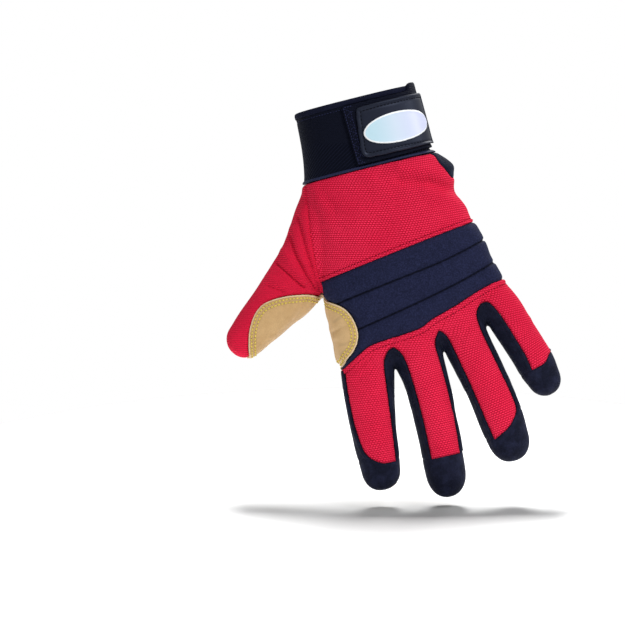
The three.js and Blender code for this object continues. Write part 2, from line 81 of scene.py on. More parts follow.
# x, y, z of the centre line, half width, half depth; tip is the rounded end past the last row.
DIGITS = {
    "index": (11.4, [
        (-29.5, 0.3, -116, 15.0, 13.6), (-30.8, 0.4, -140, 15.6, 13.6),
        (-32.0, 0.9, -154, 15.4, 13.2), (-34.0, 1.9, -166, 14.8, 12.8),
        (-35.6, 3.3, -178, 14.0, 12.4), (-36.8, 5.3, -191, 13.0, 11.8),
        (-37.7, 8.0, -205, 12.0, 11.0), (-38.2, 9.4, -212, 11.2, 10.3)]),
    "middle": (14.0, [
        (-1.0, 0.3, -116, 14.6, 14.0), (-1.4, 0.4, -140, 14.6, 13.8),
        (-1.4, 0.8, -153, 14.3, 13.2), (-0.6, 1.8, -165, 13.1, 12.6),
        (-0.4, 3.3, -178, 12.6, 12.2), (-0.9, 6.1, -195, 12.1, 11.6),
        (-1.4, 8.8, -208, 11.9, 11.0), (-2.1, 12.3, -222.8, 11.6, 10.2)]),
    "ring": (13.8, [
        (23.5, 0.3, -112, 13.6, 13.6), (26.0, 0.4, -137, 13.8, 13.4),
        (27.6, 0.8, -151, 13.6, 12.8), (30.4, 1.7, -164, 13.4, 12.4),
        (33.2, 3.3, -178, 13.3, 12.0), (35.6, 5.5, -192, 13.2, 11.4),
        (37.2, 7.8, -204, 12.9, 10.8), (38.0, 9.3, -211.5, 12.0, 10.2)]),
    "little": (10.8, [
        (40.5, 0.3, -104, 10.6, 12.6), (46.6, 0.4, -125, 11.2, 12.4),
        (52.0, 0.6, -138, 11.6, 11.8), (56.4, 1.2, -151, 11.4, 11.2),
        (61.1, 2.4, -164.5, 11.2, 10.8), (64.3, 4.0, -175.5, 10.9, 10.2),
        (66.2, 5.1, -182.3, 9.8, 9.2)]),
    "thumb": (10.6, [
        (-26.0, 2.6, -51, 18.0, 18.0), (-34.5, 4.0, -63.5, 18.4, 18.4),
        (-48.5, 6.6, -82.5, 17.6, 16.6), (-62.0, 9.0, -95.0, 16.6, 15.2),
        (-76.5, 11.4, -105.2, 14.4, 13.4), (-88.8, 13.2, -113.4, 12.4, 11.8),
        (-96.6, 14.3, -118.8, 10.9, 10.3)]),
}
FINGER_ROUND = 2.3
FINGER_ROOT = -149
FINGERS = ("index", "middle", "ring", "little")
# Where the back half meets the palm half: y by z, and y by x for the thumb.
MIDDLE = [(30, 0.5), (-140, 0.5), (-154, 1.0), (-166, 1.9), (-178, 3.3), (-191, 5.4),
          (-205, 8.1), (-212, 9.6), (-222, 12.1), (-245, 17.5)]
THUMB_MIDDLE = [(-47, 6.4), (-62, 9.0), (-76.5, 11.4), (-88.8, 13.2), (-96, 14.2), (-130, 18.5)]
THUMB_ROOT_X = -47
THUMB_LOW_Z = -144

# Seam lines as x, z. First the back of the hand.
THUMB_SEAM = [(-41, -40.6), (-43, -55), (-44.8, -67), (-46, -94)]
KNUCKLE_TOP = [(-45.9, -97.4), (-27, -94.8), (-2.5, -91.4), (22.3, -88), (47.6, -84.8), (70, -82.2)]
KNUCKLE_END = [(-45.9, -97.4), (-46.5, -102.6), (-45.1, -108.9)]
LOBE = [(-45.1, -108.9), (-40, -112.2), (-36.5, -115), (-33.5, -120), (-32, -126), (-32, -132),
        (-34.2, -137.3), (-37.6, -141.3), (-42, -144.4), (-45.6, -147.6), (-56, -152)]
CHANNEL_1 = [(-60, -115), (-40.4, -112), (-25, -109.7), (0, -106.3), (24.5, -103),
             (43.5, -98.7), (70, -91)]
CHANNEL_2 = [(-60, -134), (-31, -129), (-17, -126.6), (7.8, -122), (33, -116.5),
             (51.8, -111), (75, -104)]
KNUCKLE_LOW = [(-56, -153), (-45.6, -149.4), (-33, -142.4), (-26.3, -139.4), (-8.2, -138.4),
               (4, -137.3), (10.9, -133.6), (23.6, -130.5), (36.8, -125.7), (49.7, -121.8), (75, -119)]
STRIP_ENDS = [
    (-45.0, -149.8), (-45.9, -156), (-46.8, -167), (-47.4, -183), (-45.9, -198), (-43.3, -203),
    (-36.4, -208.2), (-28.2, -208.6), (-27.4, -204), (-25.3, -186), (-23.2, -165),
    (-21.7, -150.6), (-17.5, -144.6), (-13.8, -144.3), (-10.3, -149.3), (-8.8, -160),
    (-8, -181), (-8, -193), (-8.7, -212.4), (9.1, -213), (10.5, -196), (10.9, -177),
    (10.4, -160), (9.4, -146.4), (13.6, -140.9), (17.1, -144.7), (19.8, -158), (23.3, -175),
    (26.4, -194), (29.4, -210.4), (39.7, -205.4), (47.1, -197), (46, -187), (41.6, -166),
    (37.4, -147), (36.6, -136.2), (41.2, -131.2), (45, -131.6), (49.5, -139.7), (54.3, -154),
    (58.6, -167.6), (60, -176.4), (68.9, -174.4), (73.8, -167.8), (90, -160)]
THUMB_TAN_BACK = [(-46, -106.4), (-55.9, -102), (-70.3, -100), (-81.4, -101.4), (-87.6, -106.4),
                  (-92.8, -114.7), (-96.4, -127), (-97, -140)]
GUSSET_BACK = [(33.4, -40.6), (36, -42.6), (36.9, -46.8), (39.7, -51.7), (42.3, -57.2), (60, -57.2)]
# Then the palm side.
RED_PALM = [(-17.8, -39), (-18.6, -42), (-24, -49), (-38, -60), (-56, -76.5), (-74, -92.5),
            (-90, -106.5), (-103, -120), (-116, -131)]
TAN_TOP = [(60, -51), (41.7, -50.9), (32.2, -51.5), (24, -54.6), (10.4, -61.4), (-0.8, -68.6),
           (-12.1, -77.5), (-23.4, -85.5), (-34.1, -89.5), (-48.2, -93.2), (-59.2, -98.4),
           (-71.9, -105.4), (-83.2, -113.6), (-91.1, -121.4), (-99.1, -131), (-106, -140)]
TONGUES = [
    (-56, -150), (-46.6, -157), (-42.5, -164), (-37.2, -169.8), (-31.5, -172.6),
    (-25.8, -171.6), (-22, -167), (-20.2, -159), (-18.6, -152), (-15.4, -148.4),
    (-11.6, -149.4), (-8.8, -155), (-5, -162), (-0.8, -165.6), (4, -165.8), (7.4, -162.6),
    (8.6, -155), (9.8, -146.6), (13.2, -142.8), (17, -144.4), (20, -151), (23, -156.4),
    (27.4, -158.6), (32.4, -157.4), (35.2, -152.4), (35.8, -144), (36.4, -136.8),
    (39.6, -133.2), (43.4, -134.6), (47.8, -139), (53, -142.4), (57.4, -141.2), (59.8, -136.4),
    (59.4, -129.6), (57, -122), (75, -112)]
GUSSET_PALM = [(36.6, -39), (35.4, -43.4), (31.2, -48), (24, -54.6)]
QUILTING = [
    [(47.6, -72), (25.4, -78.7), (3.3, -91.4), (-17.7, -109), (-43.2, -121.6)],
    [(28.6, -94.5), (6.7, -105.5), (-12.4, -122), (-32.8, -134), (-43.2, -135.3)],
    [(11.4, -123), (-13.2, -128), (-43.8, -140.4)],
    [(50.6, -124.6), (13.1, -137), (-13.2, -142.4), (-25, -154.7), (-35.2, -154.3), (-44.6, -147)],
]
# Along the finger from its pad's start, then the half widths to each side as shares of the finger's.
PAD_START = {"index": -176.6, "middle": -170, "ring": -163, "little": -147}
PADS = {
    "index": [(0, 0.42, 0.42), (1.6, 0.62, 0.62), (6, 0.78, 0.78), (24, 0.78, 0.78),
              (27, 0.56, 0.8), (28.6, 0.58, 0.62), (31.4, 0.78, 0.74), (41, 0.72, 0.74),
              (46, 0.6, 0.62), (49.4, 0.36, 0.36)],
    "middle": [(0, 0.42, 0.42), (1.6, 0.62, 0.62), (6, 0.78, 0.78), (30, 0.78, 0.78),
               (33, 0.56, 0.8), (34.6, 0.58, 0.62), (37.4, 0.78, 0.74), (51, 0.72, 0.74),
               (59, 0.6, 0.62), (64, 0.34, 0.34)],
    "ring": [(0, 0.42, 0.42), (1.6, 0.6, 0.6), (6, 0.76, 0.76), (26, 0.76, 0.76),
             (29, 0.54, 0.78), (30.6, 0.56, 0.6), (33.4, 0.76, 0.72), (48, 0.7, 0.7),
             (54, 0.58, 0.58), (58.4, 0.34, 0.34)],
    "little": [(0, 0.1, 0.1), (8, 0.78, 0.78), (21, 0.8, 0.8), (23.4, 0.56, 0.8),
               (25, 0.58, 0.62), (27.6, 0.78, 0.76), (34, 0.72, 0.72), (38.6, 0.58, 0.58),
               (41.6, 0.32, 0.32)],
}
CAPS = {
    "index": [(-60, -203), (-43, -203), (-30, -206), (-20.2, -207), (-22.5, -250), (-60, -250)],
    "middle": [(-20.2, -211), (-8, -211.5), (9, -212), (17.6, -211), (20, -250), (-22.5, -250)],
    "ring": [(17.6, -209), (29, -209), (47, -198), (53, -194), (66, -250), (20, -250)],
    "little": [(53, -178), (60, -176.4), (74, -168), (90, -161), (100, -250), (66, -250), (53, -190)],
}
# Folds on each half: height and half width in millimetres, then the x, z points of the line.
FOLDS = {
    "back": [
        (-1.2, 0.8, (-50.0, -58), (-49.6, -78), (-48.2, -92), (-47.4, -101)),
        (-1.6, 0.9, (-57, -67), (-56.3, -78), (-53, -91), (-49.4, -101)),
        (-1.7, 0.8, (-68, -81), (-62.6, -89), (-56, -98)), (-0.9, 0.8, (-76, -92), (-68, -97.6)),
        (1.1, 2.0, (-53.6, -64), (-53.2, -78), (-51, -91)),
        (1.3, 2.2, (-62, -75), (-58.6, -86), (-55, -94)), (1.0, 2.2, (-73, -88), (-66, -94)),
        (0.9, 1.8, (-46.6, -56), (-46.4, -90)), (1.6, 3.4, (14, -45), (28, -50), (40, -58)),
        (-1.7, 2.8, (12, -52), (28, -57), (44, -66)), (1.1, 3.4, (26, -62), (46, -76)),
        (0.9, 4.0, (-36, -44), (-32, -70)), (-0.7, 2.4, (-33, -45), (-28, -60)),
        (0.7, 5.0, (-6, -44), (2, -58)), (-0.8, 1.6, (-16, -143), (-8, -134)),
        (-0.9, 1.6, (14, -140), (24, -131)), (-0.8, 1.6, (42, -131), (52, -124)),
        (-0.6, 1.5, (-38, -151), (-28, -146)), (-0.5, 1.5, (-40, -158), (-28, -152)),
        (-0.5, 1.4, (-8, -152), (6, -148)), (-0.5, 1.4, (24, -150), (32, -142)),
        (0.5, 3.0, (-44, -176), (-26, -180)), (0.6, 3.0, (-10, -180), (10, -178)),
        (0.6, 3.0, (22, -176), (44, -178)), (-0.5, 1.8, (-44, -184), (-26, -187)),
        (-0.5, 1.8, (-10, -188), (10, -187)), (-0.4, 1.6, (54, -157), (66, -153)),
        (0.5, 2.4, (54, -151), (66, -147)), (-0.7, 1.6, (-54, -104), (-74, -122)),
        (0.7, 2.4, (-60, -102), (-80, -120)), (0.6, 2.0, (-50, -108), (-60, -116)),
        (-0.6, 1.2, (-45, -127), (-35, -124)), (0.5, 1.8, (-45, -131), (-36, -128)),
    ],
    "palm": [
        (1.8, 6.0, (-40, -112), (-10, -88)), (1.4, 5.0, (-44, -128), (4, -100)),
        (-1.5, 3.0, (-30, -98), (-52, -112)), (0.9, 5.0, (10, -60), (36, -58)),
        (1.0, 5.0, (-20, -62), (20, -50)), (-0.9, 4.0, (-48, -84), (-10, -62)),
        (-0.7, 2.2, (-40, -168), (-26, -168)), (-0.7, 2.2, (-6, -161), (8, -161)),
    ],
}

# Heights on the cuff, the y where its back meets its palm side, and the strap's and the patch's outlines.
BINDING_EDGE = -2.4
PIPING_EDGE = -38.8
CUFF_SEAM = -40.6
CUFF_MIDDLE = 0.5
STRAP_LOW, STRAP_HIGH, STRAP_END = -38.1, 1.2, 24
STRAP = [(-9.2, -38.1), (60, -38.1), (60, 1.2), (29.4, 1.5), (28.4, 0.6), (27.6, -2.6), (26, -3.2),
         (-10, -3.3)]
PATCH = [(-1, -5.8), (42, -5.2), (42, -36.4), (-0.8, -35.4), (-3.4, -34.6), (-5, -32.4), (-5.2, -30),
         (-4.2, -20), (-3, -9), (-2.4, -6.8)]
BADGE_CENTRE = (18.0, -21.9)
# The two rows of stitching on the leather, in millimetres from its border.
LEATHER_ROWS = (1.7, 3.7)


# Shapes of the hand
def smooth_rows(rows, step):
    """Rows of numbers resampled on a smooth curve, about step apart in their first three columns."""
    rows = np.array(rows, float)
    out = []
    for i in range(len(rows) - 1):
        p0, p1, p2, p3 = (rows[max(0, min(len(rows) - 1, i + k))] for k in (-1, 0, 1, 2))
        n = max(2, int(np.linalg.norm((p2 - p1)[:3]) / step))
        for t in np.arange(n) / n:
            out.append(0.5 * (2 * p1 + (p2 - p0) * t + (2 * p0 - 5 * p1 + 4 * p2 - p3) * t * t
                              + (3 * p1 - p0 - 3 * p2 + p3) * t ** 3))
    out.append(rows[-1])
    return np.array(out)


def squared(turn, power):
    """Points at the given turns round a circle that is squared by power."""
    c, s = np.cos(turn), np.sin(turn)
    size = (np.abs(c) ** power + np.abs(s) ** power) ** (-1 / power)
    return np.stack([c * size, s * size], 1)


def squared_ring(sides, power):
    return squared(np.arange(sides) * 2 * math.pi / sides, power)


def oval(row, sides, out=0.0):
    """x and y round the hand at one of its rows, a distance out from its surface."""
    _, _, left, right, back, palm, power = row
    shape = squared_ring(sides, power)
    x = (left + right) / 2 + ((right - left) / 2 + out) * shape[:, 0]
    y = (palm - back) / 2 + ((palm + back) / 2 + out) * shape[:, 1]
    return x, y


def palm_rings(rows, sides, step):
    rings = []
    for row in smooth_rows(rows, step):
        x, y = oval(row, sides)
        rings.append(np.stack([x, y, row[0] + row[1] * x], 1))
    return rings


def digit_rings(name, sides, step):
    """Rings square to a finger's centre line, drawn in over its rounded tip."""
    tip, rows = DIGITS[name]
    line = smooth_rows(rows, step)
    shape = squared_ring(sides, FINGER_ROUND)
    ahead = np.gradient(line[:, :3], axis=0)
    ahead /= np.linalg.norm(ahead, axis=1)[:, None]
    rings = []

    def ring(centre, way, a, b):
        side = np.array([-way[2], 0, way[0]])
        side /= np.linalg.norm(side)
        deep = np.cross(way, side)
        rings.append(centre + a * shape[:, :1] * side + b * shape[:, 1:] * deep)

    for row, way in zip(line, ahead):
        ring(row[:3], way, row[3], row[4])
    for t in np.radians(np.arange(6, 90, 6)):
        ring(line[-1, :3] + ahead[-1] * tip * math.sin(t), ahead[-1],
             line[-1, 3] * math.cos(t) ** 0.94, line[-1, 4] * math.cos(t) ** 0.94)
    rings.append(np.repeat((line[-1, :3] + ahead[-1] * tip)[None], sides, 0))
    return rings


def wrap(bm, rings, closed=False):
    """A grid moved onto rings of points and closed round them."""
    sides, rows = len(rings[0]), len(rings) + (1 if closed else 0)
    made = bmesh.ops.create_grid(bm, x_segments=sides, y_segments=rows - 1, size=1)
    verts = made["verts"]
    for v in verts:
        i = round((v.co.x + 1) / 2 * sides) % sides
        j = round((v.co.y + 1) / 2 * (rows - 1)) % len(rings)
        v.co = rings[j][i]
    bmesh.ops.remove_doubles(bm, verts=verts, dist=1e-4)


def evaluated(obj):
    mesh = bpy.data.meshes.new_from_object(obj.evaluated_get(bpy.context.evaluated_depsgraph_get()))
    bpy.data.objects.remove(obj)
    return mesh


def middle_of(p):
    """How far each point lies from the line between the two halves, minus at the back."""
    z, y = np.array(MIDDLE[::-1]).T
    hand = np.interp(p[:, 2], z, y)
    x, ty = np.array(THUMB_MIDDLE[::-1]).T
    thumb = np.interp(p[:, 0], x, ty)
    return p[:, 1] - np.where((p[:, 0] < THUMB_ROOT_X) & (p[:, 2] > THUMB_LOW_Z), thumb, hand)


def line_distance(p, line, closed=False):
    """Distance of each x, z point to a line of x, z points."""
    line = np.array(line, float)
    a, b = (line, np.roll(line, -1, 0)) if closed else (line[:-1], line[1:])
    best = np.full(len(p), 1e9)
    for s, e in zip(a, b):
        d = e - s
        t = np.clip(((p - s) @ d) / max(d @ d, 1e-9), 0, 1)
        best = np.minimum(best, np.linalg.norm(p - s - t[:, None] * d, axis=1))
    return best


def outline_distance(p, outline):
    """Distance of each x, z point to a closed outline, minus inside."""
    line = np.array(outline, float)
    inside = np.zeros(len(p), bool)
    for (x1, z1), (x2, z2) in zip(line, np.roll(line, -1, 0)):
        cross = (z1 > p[:, 1]) != (z2 > p[:, 1])
        at = x1 + (p[:, 1] - z1) / (z2 - z1 if z2 != z1 else 1e-9) * (x2 - x1)
        inside ^= cross & (p[:, 0] < at)
    return np.where(inside, -1, 1) * line_distance(p, outline, closed=True)


def rounded(outline, times=1, closed=True):
    """Corners cut finer, so that a seam curves as a sewn one does; a sharp corner stays."""
    line = [np.array(p, float) for p in outline]
    for _ in range(times):
        cut = []
        for i, q in enumerate(line):
            if not closed and i in (0, len(line) - 1):
                cut.append(q)
                continue
            before, after = q - line[i - 1], line[(i + 1) % len(line)] - q
            if before @ after < 0.45 * np.linalg.norm(before) * np.linalg.norm(after):
                cut.append(q)
            else:
                cut += [q - before * 0.22, q + after * 0.22]
        line = cut
    return [tuple(q) for q in line]


def pad_outline(name):
    """The outline of a finger's leather pad as x, z points."""
    tip, rows = DIGITS[name]
    line = smooth_rows(rows, 0.5)
    ahead = line[-1, :3] - line[-2, :3]
    ahead /= np.linalg.norm(ahead)
    end = [np.r_[line[-1, :3] + ahead * t, line[-1, 3:]] for t in np.arange(0.5, tip, 0.5)]
    line = np.vstack([line, end])
    start = int(np.argmax(line[:, 2] < PAD_START[name]))
    way = np.gradient(line[:, :3], axis=0)
    run = np.r_[0, np.cumsum(np.linalg.norm(np.diff(line[start:, :3], axis=0), axis=1))]

    def at(along, share):
        i = min(start + int(np.searchsorted(run, along)), len(line) - 1)
        side = np.array([-way[i, 2], way[i, 0]])
        side /= np.linalg.norm(side)
        return tuple(line[i, [0, 2]] + side * line[i, 3] * share)

    return [at(a, r) for a, _, r in PADS[name]] + [at(a, -q) for a, q, _ in PADS[name][::-1]]


def seam(line):
    """A seam line with its corners rounded and both its ends where they were."""
    return rounded(line, 2, False)


def seam_distance(p, line):
    """Distance of each point, seen from the back, to a seam line."""
    return line_distance(p[:, [0, 2]], seam(line))


def panels():
    """name, back outline, palm outline; a panel gives way to those before it."""
    (thumb_seam, thumb_tan, lobe, knuckle_top, knuckle_end, knuckle_low, strip_ends, red_palm, tan_top,
     tongues, gusset_palm, gusset_back) = (seam(line) for line in (
         THUMB_SEAM, THUMB_TAN_BACK, LOBE, KNUCKLE_TOP, KNUCKLE_END, KNUCKLE_LOW, STRIP_ENDS, RED_PALM,
         TAN_TOP, TONGUES, GUSSET_PALM, GUSSET_BACK))
    back = thumb_seam + thumb_tan + [(-130, -140), (-130, CUFF_SEAM)]
    made = [("thumb_back", back, red_palm[1:] + [(-130, -131), (-130, CUFF_SEAM), (-18.2, CUFF_SEAM)])]
    made += [(f"{name}_pad", None, rounded(pad_outline(name))) for name in PADS]
    made += [
        ("palm_patch", thumb_tan + [(-60, -140)] + lobe[::-1], tan_top + [(-60, -140)] + tongues),
        ("wrist_gusset", gusset_back + [(60, CUFF_SEAM)],
         [(36.3, CUFF_SEAM)] + gusset_palm[1:] + [(32.2, -51.5), (41.7, -50.9), (60, -51), (60, CUFF_SEAM)]),
        ("back_panel", thumb_seam + knuckle_top + [(70, CUFF_SEAM)], None),
        ("palm_base", None, [(-18.2, CUFF_SEAM)] + red_palm[1:] + [(-116, -145)] + TAN_TOP[::-1][:-2]
         + [(41.7, -50.9), (41.7, CUFF_SEAM)]),
        ("knuckle_pad", knuckle_end[::-1] + knuckle_top + knuckle_low[::-1] + lobe[::-1][:-1], None),
        ("finger_backs", strip_ends + knuckle_low[::-1][:-1], None),
    ]
    made += [(f"{name}_tip", outline, outline) for name, outline in CAPS.items()]
    for name, outline in (
        ("index_side", [(-60, -146), (-60, -212), (-37.6, -212), (-35.2, -177), (-32, -146)]),
        ("index_middle_gusset", [(-31.6, -140), (-34.8, -177), (-37.2, -213), (-1.8, -213),
                                 (-0.6, -170), (-1, -140)]),
        ("middle_ring_gusset", [(-0.6, -136), (-0.2, -170), (-1.4, -213), (36.6, -213),
                                (32.6, -178), (26.4, -136)]),
        ("ring_little_gusset", [(26.8, -126), (33, -178), (37, -212), (66, -200), (80, -168),
                                (70, -122), (44, -118)]),
    ):
        made.append((name, outline, outline))
    return made


# How near the zero line a face's corners lie, in millimetres, for it to be looked at.
CUT_REACH = 2.4


class Skin:
    """A surface that is cut along its seams while it remembers where its points belong."""

    def __init__(self, bm):
        self.bm = bm
        self.rest = bm.verts.layers.float_vector.new("rest")
        self.number = bm.verts.layers.int.new("number")
        self.verts = list(bm.verts)
        self.p = np.array([v.co[:] for v in self.verts])
        for i, v in enumerate(self.verts):
            v[self.rest], v[self.number] = v.co, i

    def cut(self, field, half=None, sign=0):
        """Cuts the faces that the zero line of field crosses, those of one half only if sign is given."""
        number, rest = self.number, self.rest
        values = field(self.p)
        side = half(self.p) * sign if sign else None
        near = np.nonzero(np.abs(values) < CUT_REACH)[0]
        faces = {f for i in near for f in self.verts[i].link_faces}
        crossed = []
        for f in faces:
            at = [v[number] for v in f.verts]
            if values[at].min() < 0 < values[at].max() and (side is None or side[at].mean() > -0.5):
                crossed.append(f)
        if not crossed:
            return
        edges = {e for f in crossed for e in f.edges}
        verts = {v for f in crossed for v in f.verts}
        for v in verts:
            x, y, z = v[rest]
            v.co = (values[v[number]], y + x, z - 0.3 * x)
        made = bmesh.ops.bisect_plane(self.bm, geom=[*verts, *edges, *crossed], dist=0.1,
                                      plane_co=(0, 0, 0), plane_no=(1, 0, 0))
        fresh = [g for g in made["geom_cut"] if isinstance(g, bmesh.types.BMVert) and g not in verts]
        for v in verts:
            v.co = v[rest]
        for i, v in enumerate(fresh, len(self.verts)):
            v.co, v[number] = v[rest], i
        if fresh:
            self.verts += fresh
            self.p = np.vstack([self.p, [v.co[:] for v in fresh]])

    def settle(self):
        """Takes down the normals and the middles of the faces, once every seam is cut."""
        self.bm.normal_update()
        self.bm.verts.index_update()
        self.verts = list(self.bm.verts)
        self.faces = list(self.bm.faces)
        self.p = np.array([v.co[:] for v in self.verts])
        self.normals = np.array([v.normal[:] for v in self.verts])
        self.corners = [[v.index for v in f.verts] for f in self.faces]
        self.c = np.array([f.calc_center_median()[:] for f in self.faces])

    def piece(self, keep):
        """A copy of the faces that keep chooses, with the whole surface's normals at its points."""
        at = sorted({i for own, face in zip(keep, self.corners) if own for i in face})
        part = self.bm.copy()
        drop = [f for f, own in zip(list(part.faces), keep) if not own]
        bmesh.ops.delete(part, geom=drop, context="FACES")
        return part, self.normals[at]


SKINS = {}


def hand_surface():
    """One skin over the palm and the digits, open at the cuff, with its folds and a slight ripple."""
    bm = bmesh.new()
    wrap(bm, palm_rings(PALM_ROWS + [(-152.5, 0.1, -30, 30, 3, 3, 2.2)], 120, 1.5))
    for name in DIGITS:
        wrap(bm, digit_rings(name, 72, 1.2))
    bmesh.ops.holes_fill(bm, edges=[e for e in bm.edges if e.is_boundary], sides=0)
    mesh = bpy.data.meshes.new("hand")
    bm.to_mesh(mesh)
    bm.free()
    obj = bpy.data.objects.new("hand", mesh)
    bpy.context.scene.collection.objects.link(obj)
    remesh = obj.modifiers.new("one skin", "REMESH")
    remesh.mode = "VOXEL"
    remesh.voxel_size = 0.85
    mesh = evaluated(obj)
    bm = bmesh.new()
    bm.from_mesh(mesh)
    for _ in range(11):
        bmesh.ops.smooth_vert(bm, verts=bm.verts, factor=0.5, use_axis_x=True, use_axis_y=True,
                              use_axis_z=True)
    bmesh.ops.delete(bm, geom=[f for f in bm.faces if f.calc_center_median().z > -36], context="FACES")
    bm.normal_update()
    p = points_of(bm)
    half = middle_of(p)
    lift = np.zeros(len(p))
    for side, sign in (("back", 1), ("palm", -1)):
        own = 1 / (1 + np.exp(np.clip(sign * half / 1.5, -30, 30)))
        for height, width, *line in FOLDS[side]:
            lift += own * height * ridge(line_distance(p[:, [0, 2]], line), 0, width)
    for v, up in zip(bm.verts, lift):
        ripple = noise.noise(v.co * 0.035) * 0.5 + noise.noise(v.co * 0.1) * 0.22
        v.co += v.normal * (up + ripple)
    return bm


def panel_numbers(skin, rooms):
    """The panel that each face belongs to, counted from 1, and -1 where the cuff covers the hand."""
    c = skin.c
    flat, half = c[:, [0, 2]], middle_of(c)
    found = np.zeros(len(c), int)
    for i, (_, back, palm) in enumerate(rooms, 1):
        inside = np.zeros(len(c), bool)
        if back is not None:
            inside |= (half < 0) & (outline_distance(flat, back) < 0)
        if palm is not None:
            inside |= (half >= 0) & (outline_distance(flat, palm) < 0)
        found[(found == 0) & inside & (c[:, 2] < CUFF_SEAM)] = i
    found[c[:, 2] > CUFF_SEAM] = -1
    skin.bm.faces.index_update()
    while (found == 0).any():
        bare = np.nonzero(found == 0)[0]
        for i in bare:
            around = [found[o.index] for e in skin.faces[i].edges for o in e.link_faces if found[o.index] > 0]
            if around:
                found[i] = max(set(around), key=around.count)
        if (found[bare] == 0).all():
            break
    for _ in range(3):
        for i, f in enumerate(skin.faces):
            around = [found[o.index] for e in f.edges for o in e.link_faces if o is not f]
            if around and around.count(found[i]) * 3 < len(around):
                found[i] = max(set(around), key=around.count)
    return found


def hand_skin():
    """The hand's surface, cut along every seam, with the panel that each face belongs to."""
    if "hand" in SKINS:
        return SKINS["hand"]
    skin = Skin(hand_surface())
    skin.cut(lambda p: CUFF_SEAM - p[:, 2])
    skin.cut(middle_of)
    rooms = panels()
    for _, back, palm in rooms:
        for outline, sign in (((back, 0),) if back is palm else ((back, -1), (palm, 1))):
            if outline is not None:
                skin.cut(lambda p: outline_distance(p[:, [0, 2]], outline), middle_of, sign)
    skin.settle()
    skin.found, skin.names = panel_numbers(skin, rooms), [name for name, _, _ in rooms]
    SKINS["hand"] = skin
    return skin


def cuff_skin():
    """The cuff's surface, cut round the strap, the patch and the badge."""
    if "cuff" in SKINS:
        return SKINS["cuff"]
    bm = bmesh.new()
    sides, step = ((320, 0.5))
    wrap(bm, palm_rings([r for r in PALM_ROWS if r[0] > -42], sides, step))
    bmesh.ops.recalc_face_normals(bm, faces=bm.faces)
    bm.normal_update()
    if sum(v.normal.x * v.co.x + v.normal.y * v.co.y for v in bm.verts) < 0:
        bmesh.ops.reverse_faces(bm, faces=bm.faces)
        bm.normal_update()
    for v in bm.verts:
        v.co += v.normal * (noise.noise(Vector((v.co.x * 0.05, v.co.y * 0.05, v.co.z * 0.02))) * 0.5)
    skin = Skin(bm)

    def half(p):
        return p[:, 1] - CUFF_MIDDLE

    for level in (BINDING_EDGE, PIPING_EDGE):
        skin.cut(lambda p: p[:, 2] - level)
    skin.cut(half)
    for outline in (STRAP, rounded(PATCH, 2)):
        skin.cut(lambda p: outline_distance(p[:, [0, 2]], outline), half, -1)
    skin.cut(lambda p: outline_distance(unrolled(p), badge_outline()), half, -1)
    skin.cut(lambda p: p[:, 0] - STRAP_END, half, 1)
    for level in (STRAP_LOW, STRAP_HIGH):
        skin.cut(lambda p: p[:, 2] - level, half, 1)
    skin.settle()
    SKINS["cuff"] = skin
    return skin


def badge_outline():
    sizes = bpy.context.scene.glove_sizes
    a, b = sizes.badge_half_length / MM, sizes.badge_half_height / MM
    x, z = BADGE_CENTRE
    return [(x + a * math.cos(t), z + b * math.sin(t)) for t in np.arange(64) * math.pi / 32]


def unrolled(p):
    """Each point of the cuff's back laid flat: how far round it lies from x = 0, and its z."""
    z, _, left, right, back, _, power = PALM_ROWS[1]
    turn = np.linspace(-math.pi, 0, 400)
    shape = squared(turn, power)
    line = np.stack([(left + right) / 2 + (right - left) / 2 * shape[:, 0], back * shape[:, 1]], 1)
    run = np.r_[0, np.cumsum(np.linalg.norm(np.diff(line, axis=0), axis=1))]
    at = np.arctan2(np.minimum(p[:, 1], 0) / back, (p[:, 0] - (left + right) / 2) / ((right - left) / 2))
    return np.stack([np.interp(at, turn, run) - np.interp(0, line[:, 0], run), p[:, 2]], 1)


def points_of(bm):
    return np.array([v.co[:] for v in bm.verts])


def edge_distance(bm, p):
    """Distance of each point to the piece's own border."""
    border = []
    for e in bm.edges:
        if e.is_boundary:
            a, b = (np.array(v.co) for v in e.verts)
            border += [a * (1 - t) + b * t for t in (0, 0.25, 0.5, 0.75)]
    tree = KDTree(len(border))
    for i, q in enumerate(border):
        tree.insert(q, i)
    tree.balance()
    return np.array([tree.find(q)[2] for q in p])


def step_up(d, over):
    """0 up to d = 0 and 1 from d = over, smoothly."""
    t = np.clip(d / over, 0, 1)
    return t * t * (3 - 2 * t)


def ridge(d, at, width):
    """1 where d equals at, and falling away over width to either side."""
    return np.exp(-(((d - at) / width) ** 2))


def lean(x):
    """How far the knit's rows climb across the back: evenly at the left, flatter to the right."""
    start, over, climb = -10, 30, 0.249
    flatter = start + over * (1 - np.exp(-np.maximum(x - start, 0) / over))
    return climb * np.where(x < start, x, flatter)


